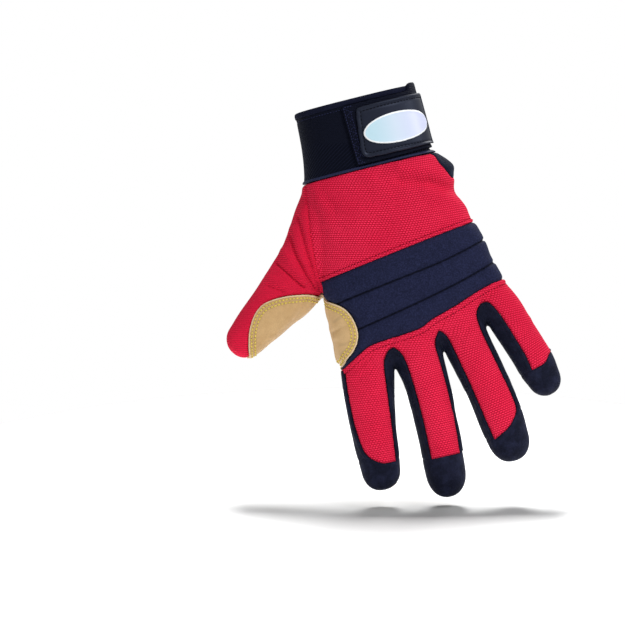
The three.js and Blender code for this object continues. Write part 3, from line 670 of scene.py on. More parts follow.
def round_the_hand(p):
    """Cloth coordinates in millimetres: across the back and round the sides, and along the fingers."""
    rows = np.array(PALM_ROWS)[::-1]
    left, right, back = (np.interp(p[:, 2], rows[:, 0], rows[:, k]) for k in (2, 3, 4))
    centre, wide, front, start = (left + right) / 2, (right - left) / 2, -back, (left + right) / 2
    slope, root = np.zeros(len(p)), (left + right) / 2
    for name in FINGERS:
        line = np.array(DIGITS[name][1])[::-1]
        x, y, a, b = (np.interp(p[:, 2], line[:, 2], line[:, k]) for k in (0, 1, 3, 4))
        own = (p[:, 2] < FINGER_ROOT) & (np.abs(p[:, 0] - x) < a + 2.5)
        centre, wide, front = np.where(own, x, centre), np.where(own, a, wide), np.where(own, y - b, front)
        start = np.where(own, np.interp(-146, line[:, 2], line[:, 0]), start)
        slope = np.where(own, np.interp(p[:, 2], line[:, 2], np.gradient(line[:, 0], line[:, 2])), slope)
        root = np.where(own, x, root)
    across, deep = p[:, 0] - centre, p[:, 1] - front
    hand = np.sign(across)
    across = np.where(middle_of(p) < 0, across, hand * 2 * wide - across)
    finger = step_up(FINGER_ROOT - p[:, 2], 14)
    rows = p[:, 2] + (1 - finger) * lean(p[:, 0]) + finger * (lean(root) + slope * (p[:, 0] - root))
    return start + across + hand * np.maximum(deep, 0), rows


def round_the_thumb(p):
    """Cloth coordinates in millimetres round and along the thumb."""
    rows = smooth_rows(DIGITS["thumb"][1], 1.5)[:, :3]
    way = np.gradient(rows, axis=0)
    way /= np.linalg.norm(way, axis=1)[:, None]
    i = np.argmin(np.linalg.norm(p[:, None] - rows[None], axis=2), axis=1)
    side = np.stack([-way[:, 2], np.zeros(len(way)), way[:, 0]], 1)
    side /= np.linalg.norm(side, axis=1)[:, None]
    deep = np.cross(way, side)
    q = p - rows[i]
    turn = np.arctan2((q * side[i]).sum(1), (q * deep[i]).sum(1))
    return turn * 15, p[:, 2] * 0.97 + p[:, 0] * 0.242


# Finishes
class Value:
    """A socket that takes part in sums."""

    def __init__(self, maker, socket):
        self.maker, self.socket = maker, socket

    def sum(self, operation, a, b=None):
        return self.maker.node("ShaderNodeMath", {"operation": operation}, [a] + ([] if b is None else [b]))

    def __add__(self, other):
        return self.sum("ADD", self, other)

    def __sub__(self, other):
        return self.sum("SUBTRACT", self, other)

    def __rsub__(self, other):
        return self.sum("SUBTRACT", other, self)

    def __mul__(self, other):
        return self.sum("MULTIPLY", self, other)

    __radd__, __rmul__ = __add__, __mul__

    def fraction(self):
        return self.sum("FRACT", self)

    def floor(self):
        return self.sum("FLOOR", self)

    def size(self):
        return self.sum("ABSOLUTE", self)

    def power(self, n):
        return self.sum("POWER", self, n)

    def least(self, other):
        return self.sum("MINIMUM", self, other)

    def wave(self, pitch):
        """From -1 to 1 and back, once in each pitch."""
        return self.sum("SINE", self * (2 * math.pi / pitch))

    def ribs(self, pitch):
        """From 0 to 1 and back, once in each pitch."""
        return self.wave(pitch) * 0.5 + 0.5

    def between(self, low, high):
        """0 at low, 1 at high, smoothly."""
        return self.maker.node("ShaderNodeMapRange", {"interpolation_type": "SMOOTHSTEP"},
                               {"Value": self, "From Min": low, "From Max": high})


class Finish:
    """The nodes of one material, or of the world."""

    def __init__(self, owner):
        self.owner = owner
        owner.use_nodes = True
        self.tree = owner.node_tree

    def node(self, kind, settings=None, values=None, out=0):
        """A node with its settings made first, then the values or links of its sockets."""
        n = self.tree.nodes.new(kind)
        for key, value in (settings or {}).items():
            if key == "stops":
                ramp = n.color_ramp
                for i, (at, shown) in enumerate(value):
                    stop = ramp.elements[i] if i < 2 else ramp.elements.new(at)
                    stop.position, stop.color = at, (*shown, 1)
            else:
                setattr(n, key, value)
        pairs = values.items() if isinstance(values, dict) else enumerate(values or [])
        for key, value in pairs:
            self.put(n.inputs[key], value)
        return Value(self, n.outputs[out])

    def put(self, socket, value):
        if isinstance(value, Value):
            self.tree.links.new(value.socket, socket)
        elif isinstance(value, tuple) and len(value) == 3 and socket.type == "RGBA":
            socket.default_value = (*value, 1)
        else:
            socket.default_value = value

    def place(self):
        """Where a point lies, in metres."""
        return self.node("ShaderNodeTexCoord", out=3)

    def part(self, where, number):
        """One of the three numbers of a place."""
        return self.node("ShaderNodeSeparateXYZ", {}, [where], out=number)

    def weave(self):
        """The cloth's own coordinates in millimetres."""
        where = self.node("ShaderNodeUVMap", {"uv_map": "cloth"})
        return self.part(where, 0) * 1000, self.part(where, 1) * 1000

    def border(self, number=0):
        """Millimetres from the piece's own border, or with number 1 from a line sewn through it."""
        return self.part(self.node("ShaderNodeUVMap", {"uv_map": "border"}), number) * 1000

    def noise(self, scale, detail=3.0, rough=0.5):
        return self.node("ShaderNodeTexNoise", {}, {"Vector": self.place(), "Scale": scale, "Detail": detail,
                                                    "Roughness": rough})

    def mix(self, share, a, b):
        return self.node("ShaderNodeMix", {"data_type": "RGBA"}, {0: share, 6: a, 7: b}, out=2)

    def bump(self, height, depth, strength):
        return self.node("ShaderNodeBump", {}, {"Height": height, "Distance": depth, "Strength": strength})

    def done(self, **sockets):
        shader = self.tree.nodes["Principled BSDF"]
        for key, value in sockets.items():
            self.put(shader.inputs[key.replace("_", " ")], value)


def colour(name, share=1.0):
    """One of the maker's colours times share, which is one number or one for each channel."""
    shares = share if isinstance(share, tuple) else (share,) * 3
    return tuple(min(c * k, 1) for c, k in zip(getattr(bpy.context.scene.glove_colours, name), shares))


MADE = {}


def finish(name):
    """The material of that name, made the first time that it is asked for."""
    if name not in MADE:
        MADE[name] = bpy.data.materials.new(name)
        make, *values = FINISHES[name]
        make(Finish(MADE[name]), *values)
    return MADE[name]


RED_SHEEN = {"Roughness": 0.8, "Sheen_Weight": 0.05, "Sheen_Roughness": 0.4, "Sheen_Tint": (1.0, 0.35, 0.5),
             "Specular_IOR_Level": 0.06}
DARK_SHEEN = {"Roughness": 0.75, "Sheen_Weight": 0.04, "Sheen_Roughness": 0.35,
              "Sheen_Tint": (0.45, 0.55, 1.0), "Specular_IOR_Level": 0.14, "Specular_Tint": (0.55, 0.62, 1.0)}
ELASTIC_SHEEN = {**DARK_SHEEN, "Roughness": 0.6, "Sheen_Weight": 0.03, "Specular_IOR_Level": 0.09,
                 "Specular_Tint": (0.5, 0.6, 1.0)}


def red_knit(f):
    """Rows of loops laid like bricks, dark in the gaps between them."""
    u, v = f.weave()
    row_height, loop_width = 1.25, 1.8
    row = v * (1 / row_height)
    odd = row.floor() - (row * 0.5).floor() * 2
    along = ((u * (1 / loop_width) + odd * 0.5).fraction() - 0.5).size()
    across = (row.fraction() - 0.5).size()
    loop = (1 - along.between(0.3, 0.48)) * (1 - across.between(0.16, 0.44))
    cloud = f.noise(45, 4).between(0.3, 0.7)
    base = f.mix(cloud, colour("red", (0.95, 1.5, 1.3)), colour("red", (1.06, 2.1, 1.6)))
    height = loop * 0.85 + f.noise(1500, 2) * 0.15
    f.done(Base_Color=f.mix(loop, colour("red", (0.55, 0.3, 0.4)), base), Normal=f.bump(height, 0.0004, 0.9),
           **RED_SHEEN)


def red_rib(f):
    """Fine ribs along the thumb."""
    u, v = f.weave()
    mark = v.ribs(1.15) * 0.85 + u.ribs(1.1) * 0.15
    base = f.mix(f.noise(45, 4).between(0.3, 0.7), colour("red", 0.9), colour("red"))
    paint = f.mix((1 - mark.between(0.1, 0.7)) * 0.55, base, colour("red", 0.36))
    f.done(Base_Color=paint, Normal=f.bump(mark, 0.0005, 0.9), **RED_SHEEN)


def dark_cloth(f, key, pitch, depth, mottle, dark, light):
    """Close stretch cloth with a short nap, with painted shade in the groove along a line sewn through it."""
    u, v = f.weave()
    thread = u.wave(pitch) * v.wave(pitch) * 0.5 + 0.5
    fuzz = f.noise(1300, 3).between(0.35, 0.75)
    cloud = f.noise(150, 4, 0.6).between(0.35, 0.7)
    paint = f.mix(cloud * mottle + fuzz * (0.9 - mottle), colour(key, dark), colour(key, light))
    # Painted shade: darker in the sunk groove along a line sewn through the cloth.
    painted_groove_shade = 1 - f.border(1).between(0.25, 0.95)
    f.done(Base_Color=f.mix(painted_groove_shade * 0.8, paint, colour(key, 0.15)),
           Normal=f.bump(thread * 0.5 + fuzz * 0.5, depth, 0.8), **DARK_SHEEN)


def elastic(f):
    """Ribbed elastic, with a coarser twill along the cuff's lower edge."""
    u, v = f.weave()
    low = 1 - v.between(-29, -26)
    plain = (u + v * 0.9).ribs(1.3) * 0.3 + v.ribs(0.9) * 0.25
    mark = plain * (1 - low) + (u * 0.75 - v).ribs(1.9).power(2) * low
    paint = f.mix(mark * 0.8 + f.noise(500, 3) * 0.2, colour("black", 0.3), colour("black", 1.5))
    f.done(Base_Color=paint, Normal=f.bump(mark, 0.0005, 0.85), **ELASTIC_SHEEN)


def strap_elastic(f):
    """Finer elastic, ribbed both ways."""
    u, v = f.weave()
    mark = v.ribs(1.0) * 0.6 + u.ribs(0.9) * 0.4
    f.done(Base_Color=f.mix(mark, colour("black", 0.35), colour("black", 1.1)),
           Normal=f.bump(mark, 0.00035, 0.7), **ELASTIC_SHEEN)


def goatskin(f):
    """Grain and specks, a darker band along the border, painted shade in the grooves of the two rows of
    stitching and of the quilting, and a pale cut edge.
    """
    cells = f.node("ShaderNodeTexVoronoi", {"feature": "DISTANCE_TO_EDGE"},
                   {"Vector": f.place(), "Scale": 950, "Randomness": 1.0})
    grain = cells.between(0.0, 0.25)
    cloud = f.noise(28, 5, 0.6).between(0.32, 0.68)
    specks = f.noise(420, 3).between(0.35, 0.7)
    hide = f.mix(cloud, colour("tan", (0.86, 0.8, 0.7)), colour("tan"))
    paint = f.mix(specks * 0.25, hide, colour("tan", 1.12))
    paint = f.mix((1 - grain) * 0.14, paint, colour("tan", 0.5))
    d = f.border()
    # A darker band along the border, over the two rows of stitching.
    wide = d.between(1.0, 1.7) * (1 - d.between(3.6, 5.2))
    # Painted shade in the sunk grooves of the two rows of stitching.
    rows = sum(1 - (d - row).size().between(0.2, 0.7) for row in LEATHER_ROWS)
    # Painted shade in the sunk grooves of the quilting lines sewn through the leather.
    painted_groove_shade = 1 - f.border(1).between(0.3, 1.4)
    paint = f.mix(wide * 0.1 + (rows + painted_groove_shade).least(1) * 0.24, paint, colour("tan", 0.45))
    paint = f.mix((1 - d.between(0.25, 0.75)) * 0.85, paint, (0.78, 0.62, 0.40))
    f.done(Base_Color=paint, Roughness=f.noise(160, 2) * 0.16 + 0.5, Specular_IOR_Level=0.4,
           Normal=f.bump(grain * 0.5 + f.noise(260, 3) * 0.7, 0.00014, 0.6))


def cut_edge(f):
    """The pale raw edge of the leather."""
    paint = f.mix(f.noise(900, 2), colour("tan", (1.15, 1.3, 1.6)), colour("tan", (1.05, 1.1, 1.2)))
    f.done(Base_Color=paint, Roughness=0.8)


def thread(f, key, dark, light, rough, gloss):
    ply = f.noise(2200, 2)
    f.done(Base_Color=f.mix(ply, colour(key, dark), colour(key, light)), Roughness=rough,
           Normal=f.bump(ply, 0.0001, 0.5), Specular_IOR_Level=gloss)


def rubber(f):
    fine = f.noise(1400, 3)
    f.done(Base_Color=f.mix(f.noise(70, 3), colour("rubber", 0.85), colour("rubber", 1.2)),
           Roughness=fine * 0.12 + 0.40, Normal=f.bump(fine, 0.00006, 0.5),
           Specular_IOR_Level=0.3, Specular_Tint=(0.6, 0.7, 1.0))


def badge_silver(f):
    """A pale silver face that turns from greenish to violet across the oval, and a white rim."""
    across = f.part(f.place(), 0).between(0.0, 0.034)
    stops = [(0.0, colour("badge", (0.86, 1.04, 1.0))), (0.5, colour("badge")),
             (1.0, colour("badge", (0.98, 0.88, 0.98)))]
    face = f.node("ShaderNodeValToRGB", {"stops": stops}, {"Fac": across})
    paint = f.mix(1 - f.border().between(0.75, 1.0), face, (0.93, 0.95, 0.97))
    f.done(Base_Color=paint, Roughness=f.noise(900, 2) * 0.04 + 0.36, Coat_Weight=0.1,
           Coat_Roughness=0.3, Normal=f.bump(f.noise(500, 2), 0.00003, 0.4))


def piping_cord(f):
    twist = f.weave()[0].ribs(0.9)
    f.done(Base_Color=f.mix(twist, colour("navy", 0.9), colour("navy", 1.9)), Roughness=0.5,
           Normal=f.bump(twist, 0.0001, 0.5), Specular_IOR_Level=0.2, Specular_Tint=(0.6, 0.7, 1.0))


FINISHES = {
    "red knit": (red_knit,), "red rib knit": (red_rib,),
    "navy neoprene": (dark_cloth, "navy", 0.7, 0.00016, 0.15, 0.8, 2.0),
    "dark stretch cloth": (dark_cloth, "black", 0.8, 0.00024, 0.5, 0.8, 2.9),
    "brushed tip cloth": (dark_cloth, "black", 0.8, 0.00028, 0.65, 0.9, 3.6),
    # The binding's cloth is painted lighter than the navy neoprene: a painted highlight along the binding.
    "bound edge": (dark_cloth, "navy", 0.8, 0.00025, 0.3, 1.0, 3.4),
    "ribbed elastic": (elastic,), "strap elastic": (strap_elastic,),
    "tan goatskin": (goatskin,), "cut leather edge": (cut_edge,),
    "yellow thread": (thread, "thread", 0.75, 1.0, 0.55, 0.2),
    "dark thread": (thread, "navy", 1.3, 2.4, 0.6, 0.08),
    "black thread": (thread, "black", 0.4, 0.8, 0.6, 0.08),
    "red thread": (thread, "red", 0.13, 0.26, 0.7, 0.03),
    "moulded rubber": (rubber,), "pale badge": (badge_silver,), "navy piping": (piping_cord,),
}


# Making the pieces
def link(name, bm, looks):
    """Makes the mesh an object in metres that rides on the glove's one body."""
    mesh = bpy.data.meshes.new(name)
    bmesh.ops.transform(bm, matrix=Matrix.Scale(MM, 4), verts=bm.verts)
    bm.to_mesh(mesh)
    bm.free()
    mesh.shade_smooth()
    obj = bpy.data.objects.new(f"sewn_{name}", mesh)
    for look in looks:
        mesh.materials.append(finish(look))
    bpy.context.scene.collection.objects.link(obj)
    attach(obj, "root")
    return obj


def swollen(bm, co, held, most):
    """Where the points of a padded cover lie once its filling presses it out between its sewn points."""
    mesh = bpy.data.meshes.new("cover")
    bm.to_mesh(mesh)
    scale = 0.01
    mesh.vertices.foreach_set("co", (co * scale).ravel())
    obj = bpy.data.objects.new("cover", mesh)
    scene = bpy.context.scene
    scene.collection.objects.link(obj)
    group = obj.vertex_groups.new(name="sewn")
    group.add([int(i) for i in np.nonzero(held)[0]], 1.0, "REPLACE")
    cloth = obj.modifiers.new("cloth", "CLOTH")
    cloth.settings.vertex_group_mass = "sewn"
    cloth.settings.use_pressure = True
    cloth.settings.uniform_pressure_force = 4
    cloth.settings.effector_weights.gravity = 0
    for moment in range(1, 21):
        scene.frame_set(moment)
    done = evaluated(obj)
    out = np.empty(len(co) * 3)
    done.vertices.foreach_get("co", out)
    move = out.reshape(-1, 3) / scale - co
    scene.frame_set(1)
    reach = np.linalg.norm(move, axis=1).max()
    return co + move * min(1, most / max(reach, 1e-9))


def sew(part, name, look, wall, shape, lift=0.0, rim=None, sewn=(), swell=0):
    """One panel: its height over the hand is lift + shape, and wall its thickness.

    Gives the object, its outer face and how far each point lies from its border.
    """
    bm, normals = part
    p = points_of(bm)
    d = edge_distance(bm, p)
    line = np.full(len(p), FAR)
    for sewn_line in sewn:
        line = np.minimum(line, line_distance(p[:, [0, 2]], sewn_line))
    uv = np.stack(round_the_thumb(p) if name == "thumb_back" else round_the_hand(p), 1) * MM
    cloth, border = bm.loops.layers.uv.new("cloth"), bm.loops.layers.uv.new("border")
    bm.verts.index_update()
    for f in bm.faces:
        for loop in f.loops:
            i = loop.vert.index
            loop[cloth].uv = uv[i]
            loop[border].uv = (d[i] * MM, line[i] * MM)
    moved = p + normals * (lift + shape(p, d))[:, None]
    if swell:
        moved = swollen(bm, moved, np.minimum(d, line) < 0.7, swell)
    for vert, co in zip(bm.verts, moved):
        vert.co = co
    shown = bm.copy()
    shown.normal_update()
    obj = link(name, bm, [look, rim] if rim else [look])
    solid = obj.modifiers.new("wall", "SOLIDIFY")
    solid.thickness, solid.offset = wall * MM, -1
    solid.use_quality_normals = True
    if rim:
        solid.material_offset_rim = 1
    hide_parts(name)
    return obj, shown, d


def level_lines(bm, values, level, keep=None):
    """Chains of points along the surface where values equal level."""
    bm.verts.index_update()
    bm.edges.index_update()
    bm.edges.ensure_lookup_table()
    at = {}
    for e in bm.edges:
        a, b = (values[v.index] - level for v in e.verts)
        if (a < 0) != (b < 0):
            q = e.verts[0].co.lerp(e.verts[1].co, a / (a - b))
            n = e.verts[0].normal.lerp(e.verts[1].normal, a / (a - b))
            if keep is None or keep(q):
                at[e.index] = (q, n)
    links = defaultdict(list)
    for f in bm.faces:
        hit = [e.index for e in f.edges if e.index in at]
        if len(hit) == 2:
            links[hit[0]].append(hit[1])
            links[hit[1]].append(hit[0])
    seen, chains = set(), []
    for start in sorted(links, key=lambda i: len(links[i])):
        if start in seen:
            continue
        chain, here = [start], start
        seen.add(start)
        while True:
            onward = [n for n in links[here] if n not in seen]
            if not onward:
                break
            here = onward[0]
            seen.add(here)
            chain.append(here)
        if len(chain) > 4:
            chains.append([at[i] for i in chain])
    return chains


def stitch(places, chains, pitch, length, width, sink=0.05):
    """Adds the places of stitches that follow chains of points."""
    for chain in chains:
        line = np.array([q[:] for q, _ in chain])
        normal = np.array([n[:] for _, n in chain])
        run = np.r_[0, np.cumsum(np.linalg.norm(np.diff(line, axis=0), axis=1))]
        if run[-1] < pitch * 1.5:
            continue
        s = np.arange(pitch / 2, run[-1], pitch)

        def at(values, where):
            return np.stack([np.interp(where, run, values[:, k]) for k in range(3)], 1)

        here, along, up = at(line, s), at(line, s + 0.4) - at(line, s - 0.4), at(normal, s)
        along /= np.maximum(np.linalg.norm(along, axis=1), 1e-9)[:, None]
        side = np.cross(up, along)
        side /= np.maximum(np.linalg.norm(side, axis=1), 1e-9)[:, None]
        up = np.cross(along, side)
        places += [(h - u * sink, a * length / 2, r * width / 2, u * width / 2.6)
                   for h, a, r, u in zip(here, along, side, up)]


def stitches(name, places, look):
    """One mesh with a stitch at every place.

    The first stitch goes through a mesh, which puts its points in one unbroken row.
    """
    bm = bmesh.new()
    bmesh.ops.create_uvsphere(bm, u_segments=6, v_segments=4, radius=1)
    one = bpy.data.meshes.new("stitch")
    bm.to_mesh(one)
    bm.free()
    bm = bmesh.new()
    bm.from_mesh(one)
    shape = points_of(bm)
    while len(bm.verts) < len(shape) * len(places):
        missing = len(places) - len(bm.verts) // len(shape)
        verts = list(bm.verts)[:missing * len(shape)]
        faces = {f for v in verts for f in v.link_faces}
        bmesh.ops.duplicate(bm, geom=verts + list({e for f in faces for e in f.edges}) + list(faces))
    centres, along, side, up = (np.array(k) for k in zip(*places))
    co = (centres[:, None] + shape[None, :, 2:3] * along[:, None] + shape[None, :, 0:1] * side[:, None]
          + shape[None, :, 1:2] * up[:, None]).reshape(-1, 3)
    for v, q in zip(bm.verts, co):
        v.co = q
    link(name, bm, [look])


def hand_panel(name):
    skin = hand_skin()
    return skin.piece(skin.found == skin.names.index(name) + 1)


def cuff_ring(name, profile, look, closed):
    """A band round the cuff with a cross-section of (out, z) points."""
    sides, rings = 200, []
    rows = smooth_rows([r for r in PALM_ROWS if r[0] > -48], 0.5)
    for out, z in profile:
        row = [np.interp(-z, -rows[:, 0], rows[:, k]) for k in range(7)]
        rings.append(np.stack([*oval(row, sides, out), np.full(sides, z)], 1))
    bm = bmesh.new()
    wrap(bm, rings, closed)
    bmesh.ops.recalc_face_normals(bm, faces=bm.faces)
    cloth = bm.loops.layers.uv.new("cloth")
    for f in bm.faces:
        for loop in f.loops:
            x, _, z = loop.vert.co
            loop[cloth].uv = (x * MM, z * MM)
    obj = link(name, bm, [look])
    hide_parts(name)
    return obj


def smooth_line(line):
    rows = [(x, 0, z) for x, z in line]
    return [tuple(q) for q in smooth_rows(rows, 3)[:, [0, 2]]]


def quilt_chains(bm, line):
    """Points of the palm's surface above a line of x, z points, parted where it leaves the surface."""
    tree = BVHTree.FromBMesh(bm)
    above, furthest = 60, 4
    chains, last = [[]], None
    for (x1, z1), (x2, z2) in zip(line, line[1:]):
        for t in np.arange(0, 1, 0.25):
            start = Vector((x1 + (x2 - x1) * t, above, z1 + (z2 - z1) * t))
            hit, normal, _, _ = tree.ray_cast(start, Vector((0, -1, 0)))
            if hit is None or last is not None and (hit - last).length > furthest:
                chains.append([])
            if hit is not None:
                chains[-1].append((hit, normal))
            last = hit
    return [chain for chain in chains if len(chain) > 3]


def length(name, words, default):
    return bpy.props.FloatProperty(name=name, description=words, default=default, unit="LENGTH", precision=4)


def shade(name, words, default):
    return bpy.props.FloatVectorProperty(name=name, description=words, default=default, subtype="COLOR",
                                         size=3, min=0, max=1)


class GloveSizes(bpy.types.PropertyGroup):
    """Sizes of the glove's pieces that a maker would change."""

    cloth: length("Cloth", "Thickness of the knit and stretch cloth", 0.0014)
    leather: length("Leather", "Thickness of the goatskin", 0.0022)
    padding: length("Knuckle padding", "How far the knuckle bar's bands stand out", 0.0019)
    stitch_pitch: length("Stitch pitch", "Distance from one stitch to the next on the leather", 0.0021)
    badge_half_length: length("Badge half length", "Half the oval badge's length", 0.0196)
    badge_half_height: length("Badge half height", "Half the oval badge's height", 0.0087)


class GloveColours(bpy.types.PropertyGroup):
    """Colours of the glove's cloths, leather, thread and badge."""

    red: shade("Red", "Knitted back, fingers and thumb", (0.90, 0.0150, 0.062))
    navy: shade("Navy", "Knuckle bar and piping", (0.0100, 0.0118, 0.0335))
    black: shade("Dark navy", "Cuff, finger sides, fingertips and heel", (0.0046, 0.0053, 0.0122))
    tan: shade("Tan", "Goatskin palm and pads", (0.62, 0.405, 0.19))
    thread: shade("Thread", "Topstitching on the leather", (0.78, 0.60, 0.11))
    rubber: shade("Rubber", "Patch on the strap", (0.0085, 0.0100, 0.0185))
    badge: shade("Badge", "Plain oval on the patch", (0.60, 0.70, 0.82))


class GLOVE_OT_red_backs(bpy.types.Operator):
    """The red knitted pieces: the back panel, the thumb's back and the four finger strips."""

    bl_idname = "glove.red_backs"
    bl_label = "Red knit backs"

    def execute(self, context):
        wall = context.scene.glove_sizes.cloth / MM
        red = []
        for name, look, sewn, row in (("back_panel", "red knit", KNUCKLE_TOP, 2.3),
                                      ("thumb_back", "red rib knit", THUMB_SEAM, 1.6),
                                      ("finger_backs", "red knit", KNUCKLE_LOW, 3.0)):
            folded = name != "thumb_back"

            def shape(p, d):
                away = seam_distance(p, sewn)
                half = np.abs(middle_of(p))
                turned = ridge(half, 0, 2.5) * (p[:, 0] > 20)
                inner = folded * np.where(p[:, 0] > 0, 1, step_up(half, 5))
                sink = 0.75 * (1 - step_up(d, 1.6)) * (1 - inner * (away < 3)) * (1 - 0.85 * turned)
                outer_groove = 0.35 * ridge(away, row * 1.75, 0.6) * (name == "finger_backs")
                return inner * (0.5 * ridge(away, row * 0.45, row * 0.38) - 0.55 * ridge(away, row, 0.55)
                                - 0.5 * ridge(away, 0, 0.45) - outer_groove) - sink

            _, shown, _ = sew(hand_panel(name), name, look, wall, shape)
            p = points_of(shown)
            if folded:
                stitch(red, level_lines(shown, seam_distance(p, sewn), row), 1.9, 1.3, 0.62, -0.02)
            if name == "finger_backs":
                stitch(red, level_lines(shown, seam_distance(p, STRIP_ENDS), 0.9), 1.8, 1.0, 0.45)
            shown.free()
        stitches("red_stitching", red, "red thread")
        return {"FINISHED"}


class GLOVE_OT_knuckle_bar(bpy.types.Operator):
    """The navy knuckle bar with its three padded bands."""

    bl_idname = "glove.knuckle_bar"
    bl_label = "Knuckle bar"

    def execute(self, context):
        fill = context.scene.glove_sizes.padding / MM
        channels = [seam(line) for line in (CHANNEL_1, CHANNEL_2)]

        def shape(p, d):
            near = np.minimum(*(line_distance(p[:, [0, 2]], line) for line in channels))
            crown = 0.3 * (1 - np.exp(-np.minimum(d, near) / 5.0))
            return fill * (1 - np.exp(-np.minimum(d / 1.3, near / 0.7))) + crown - 1.0

        obj, shown, _ = sew(hand_panel("knuckle_pad"), "knuckle_pad", "navy neoprene", 2.2, shape,
                            sewn=channels, swell=1.3)
        flat, black = points_of(shown)[:, [0, 2]], []
        for line in channels:
            x, z = np.array(line).T
            stitch(black, level_lines(shown, flat[:, 1] - np.interp(flat[:, 0], x, z), 0), 2.0, 1.3, 0.5, 0.0)
        stitches("knuckle_stitching", black, "black thread")
        shown.free()
        return {"FINISHED"}


class GLOVE_OT_dark_cloth(bpy.types.Operator):
    """The dark stretch cloth: palm base, wrist gusset, finger sides and fingertips."""

    bl_idname = "glove.dark_cloth"
    bl_label = "Dark stretch cloth"

    def execute(self, context):
        wall = context.scene.glove_sizes.cloth / MM
        for name in ("palm_base", "wrist_gusset", "index_side", "index_middle_gusset", "middle_ring_gusset",
                     "ring_little_gusset", "index_tip", "middle_tip", "ring_tip", "little_tip"):
            look, bead = ("brushed tip cloth", 0.0) if "tip" in name else ("dark stretch cloth", 0.55)

            def shape(p, d):
                rim = (middle_of(p) < 1) * (p[:, 2] > -212) * ridge(seam_distance(p, STRIP_ENDS), 1.0, 0.75)
                return bead * rim - 0.28 * (1 - step_up(d, 1.4)) * (1 - rim)

            _, shown, _ = sew(hand_panel(name), name, look, wall, shape)
            shown.free()
        return {"FINISHED"}


class GLOVE_OT_leather(bpy.types.Operator):
    """The tan goatskin palm and finger pads with their yellow topstitching and quilting."""

    bl_idname = "glove.leather"
    bl_label = "Goatskin palm and pads"

    def execute(self, context):
        sizes = context.scene.glove_sizes
        wall, pitch = sizes.leather / MM, sizes.stitch_pitch / MM
        yellow = []
        for name in ("palm_patch", "index_pad", "middle_pad", "ring_pad", "little_pad"):
            quilting = [smooth_line(line) for line in QUILTING] if name == "palm_patch" else []

            def shape(p, d):
                flat, half = p[:, [0, 2]], middle_of(p)
                height = np.zeros(len(p))
                for line in quilting:
                    away = line_distance(flat, line)
                    height += step_up(half + 2, 3) * (0.5 * ridge(away, 4.5, 3) - 0.9 * ridge(away, 0, 1.1))
                for row in LEATHER_ROWS:
                    height -= 0.14 * ridge(d, row, 0.5)
                little_side = step_up(p[:, 0] - 14, 12)
                index_root = (p[:, 0] < -36) * step_up(-143 - p[:, 2], 4)
                tucked = (1 - step_up(half, 13)) * np.where(p[:, 0] > 0, little_side, index_root)
                deep = 1.7 + 1.2 * (p[:, 0] > 0) * (p[:, 2] > -78)
                return height - 0.22 * (1 - step_up(d, 0.9)) + 0.25 * step_up(d - 3.7, 4) - deep * tucked

            _, shown, d = sew(hand_panel(name), name, "tan goatskin", wall, shape, 0.75,
                              rim="cut leather edge", sewn=quilting)
            chains = [level_lines(shown, d, row, lambda q: q.y > 9 or q.x < 30 or q.z < -125)
                      for row in LEATHER_ROWS] + [quilt_chains(shown, line) for line in quilting]
            for found in chains:
                stitch(yellow, found, pitch, 1.6, 1.1, -0.16)
            shown.free()
        stitches("leather_stitching", yellow, "yellow thread")
        return {"FINISHED"}


class GLOVE_OT_cuff(bpy.types.Operator):
    """The elastic cuff with its bound edge and piping, and the strap over it."""

    bl_idname = "glove.cuff"
    bl_label = "Elastic cuff and strap"

    def execute(self, context):
        skin = cuff_skin()
        x, y, z = skin.c.T
        groove = -4.8
        band = skin.piece((PIPING_EDGE < z) & (z < BINDING_EDGE))
        _, shown, _ = sew(band, "cuff_band", "ribbed elastic", 1.8,
                          lambda p, d: -0.3 * ridge(p[:, 2], groove, 0.5))
        dark = []
        stitch(dark, level_lines(shown, points_of(shown)[:, 2], groove, lambda q: q.x < -9 or q.y > 0),
               1.7, 1.2, 0.5)
        shown.free()

        back = outline_distance(skin.c[:, [0, 2]], STRAP) < 0
        palm = (x > STRAP_END) & (STRAP_LOW < z) & (z < STRAP_HIGH)
        strap = skin.piece(np.where(y < CUFF_MIDDLE, back, palm))
        _, shown, d = sew(strap, "closure_strap", "strap elastic", 1.7,
                          lambda p, d: -0.35 * (1 - step_up(d, 1.0)), 2.2)
        for row in (0.9, 4.2):
            found = level_lines(shown, d, row, lambda q: q.x < -4 and q.y < 0 and q.z < -4)
            stitch(dark, found, 1.6, 1.2, 0.6, -0.1)
        p = points_of(shown)
        for i in range(15):
            slant = -0.7 if i % 2 else 0.7
            field = p[:, 2] + 6.2 + i * 2.1 + slant * (p[:, 0] + 7.1)
            found = level_lines(shown, field, 0, lambda q: -8.6 < q.x < -5.6 and q.y < 0)
            stitch(dark, found, 1.2, 1.0, 0.5, -0.1)
        shown.free()

        fold = [(0.35, -3.1), (0.55, -2.6), (0.6, -1.7), (0.5, -0.7), (0.2, -0.1), (-0.4, 0.2), (-1.2, 0.15),
                (-1.8, -0.3), (-2.1, -1.1), (-2.2, -2.1), (-2.2, -3.1)]
        # The binding's finish is painted lighter, as a painted highlight.
        binding = cuff_ring("cuff_binding", fold, "bound edge", False)
        wall = binding.modifiers.new("wall", "SOLIDIFY")
        wall.thickness, wall.offset = 0.6 * MM, -1
        cord = [(-0.25 + 0.85 * math.cos(t), -39.5 + 0.85 * math.sin(t)) for t in np.arange(12) * math.pi / 6]
        cuff_ring("cuff_piping", cord, "navy piping", True)
        stitches("cuff_stitching", dark, "dark thread")
        return {"FINISHED"}


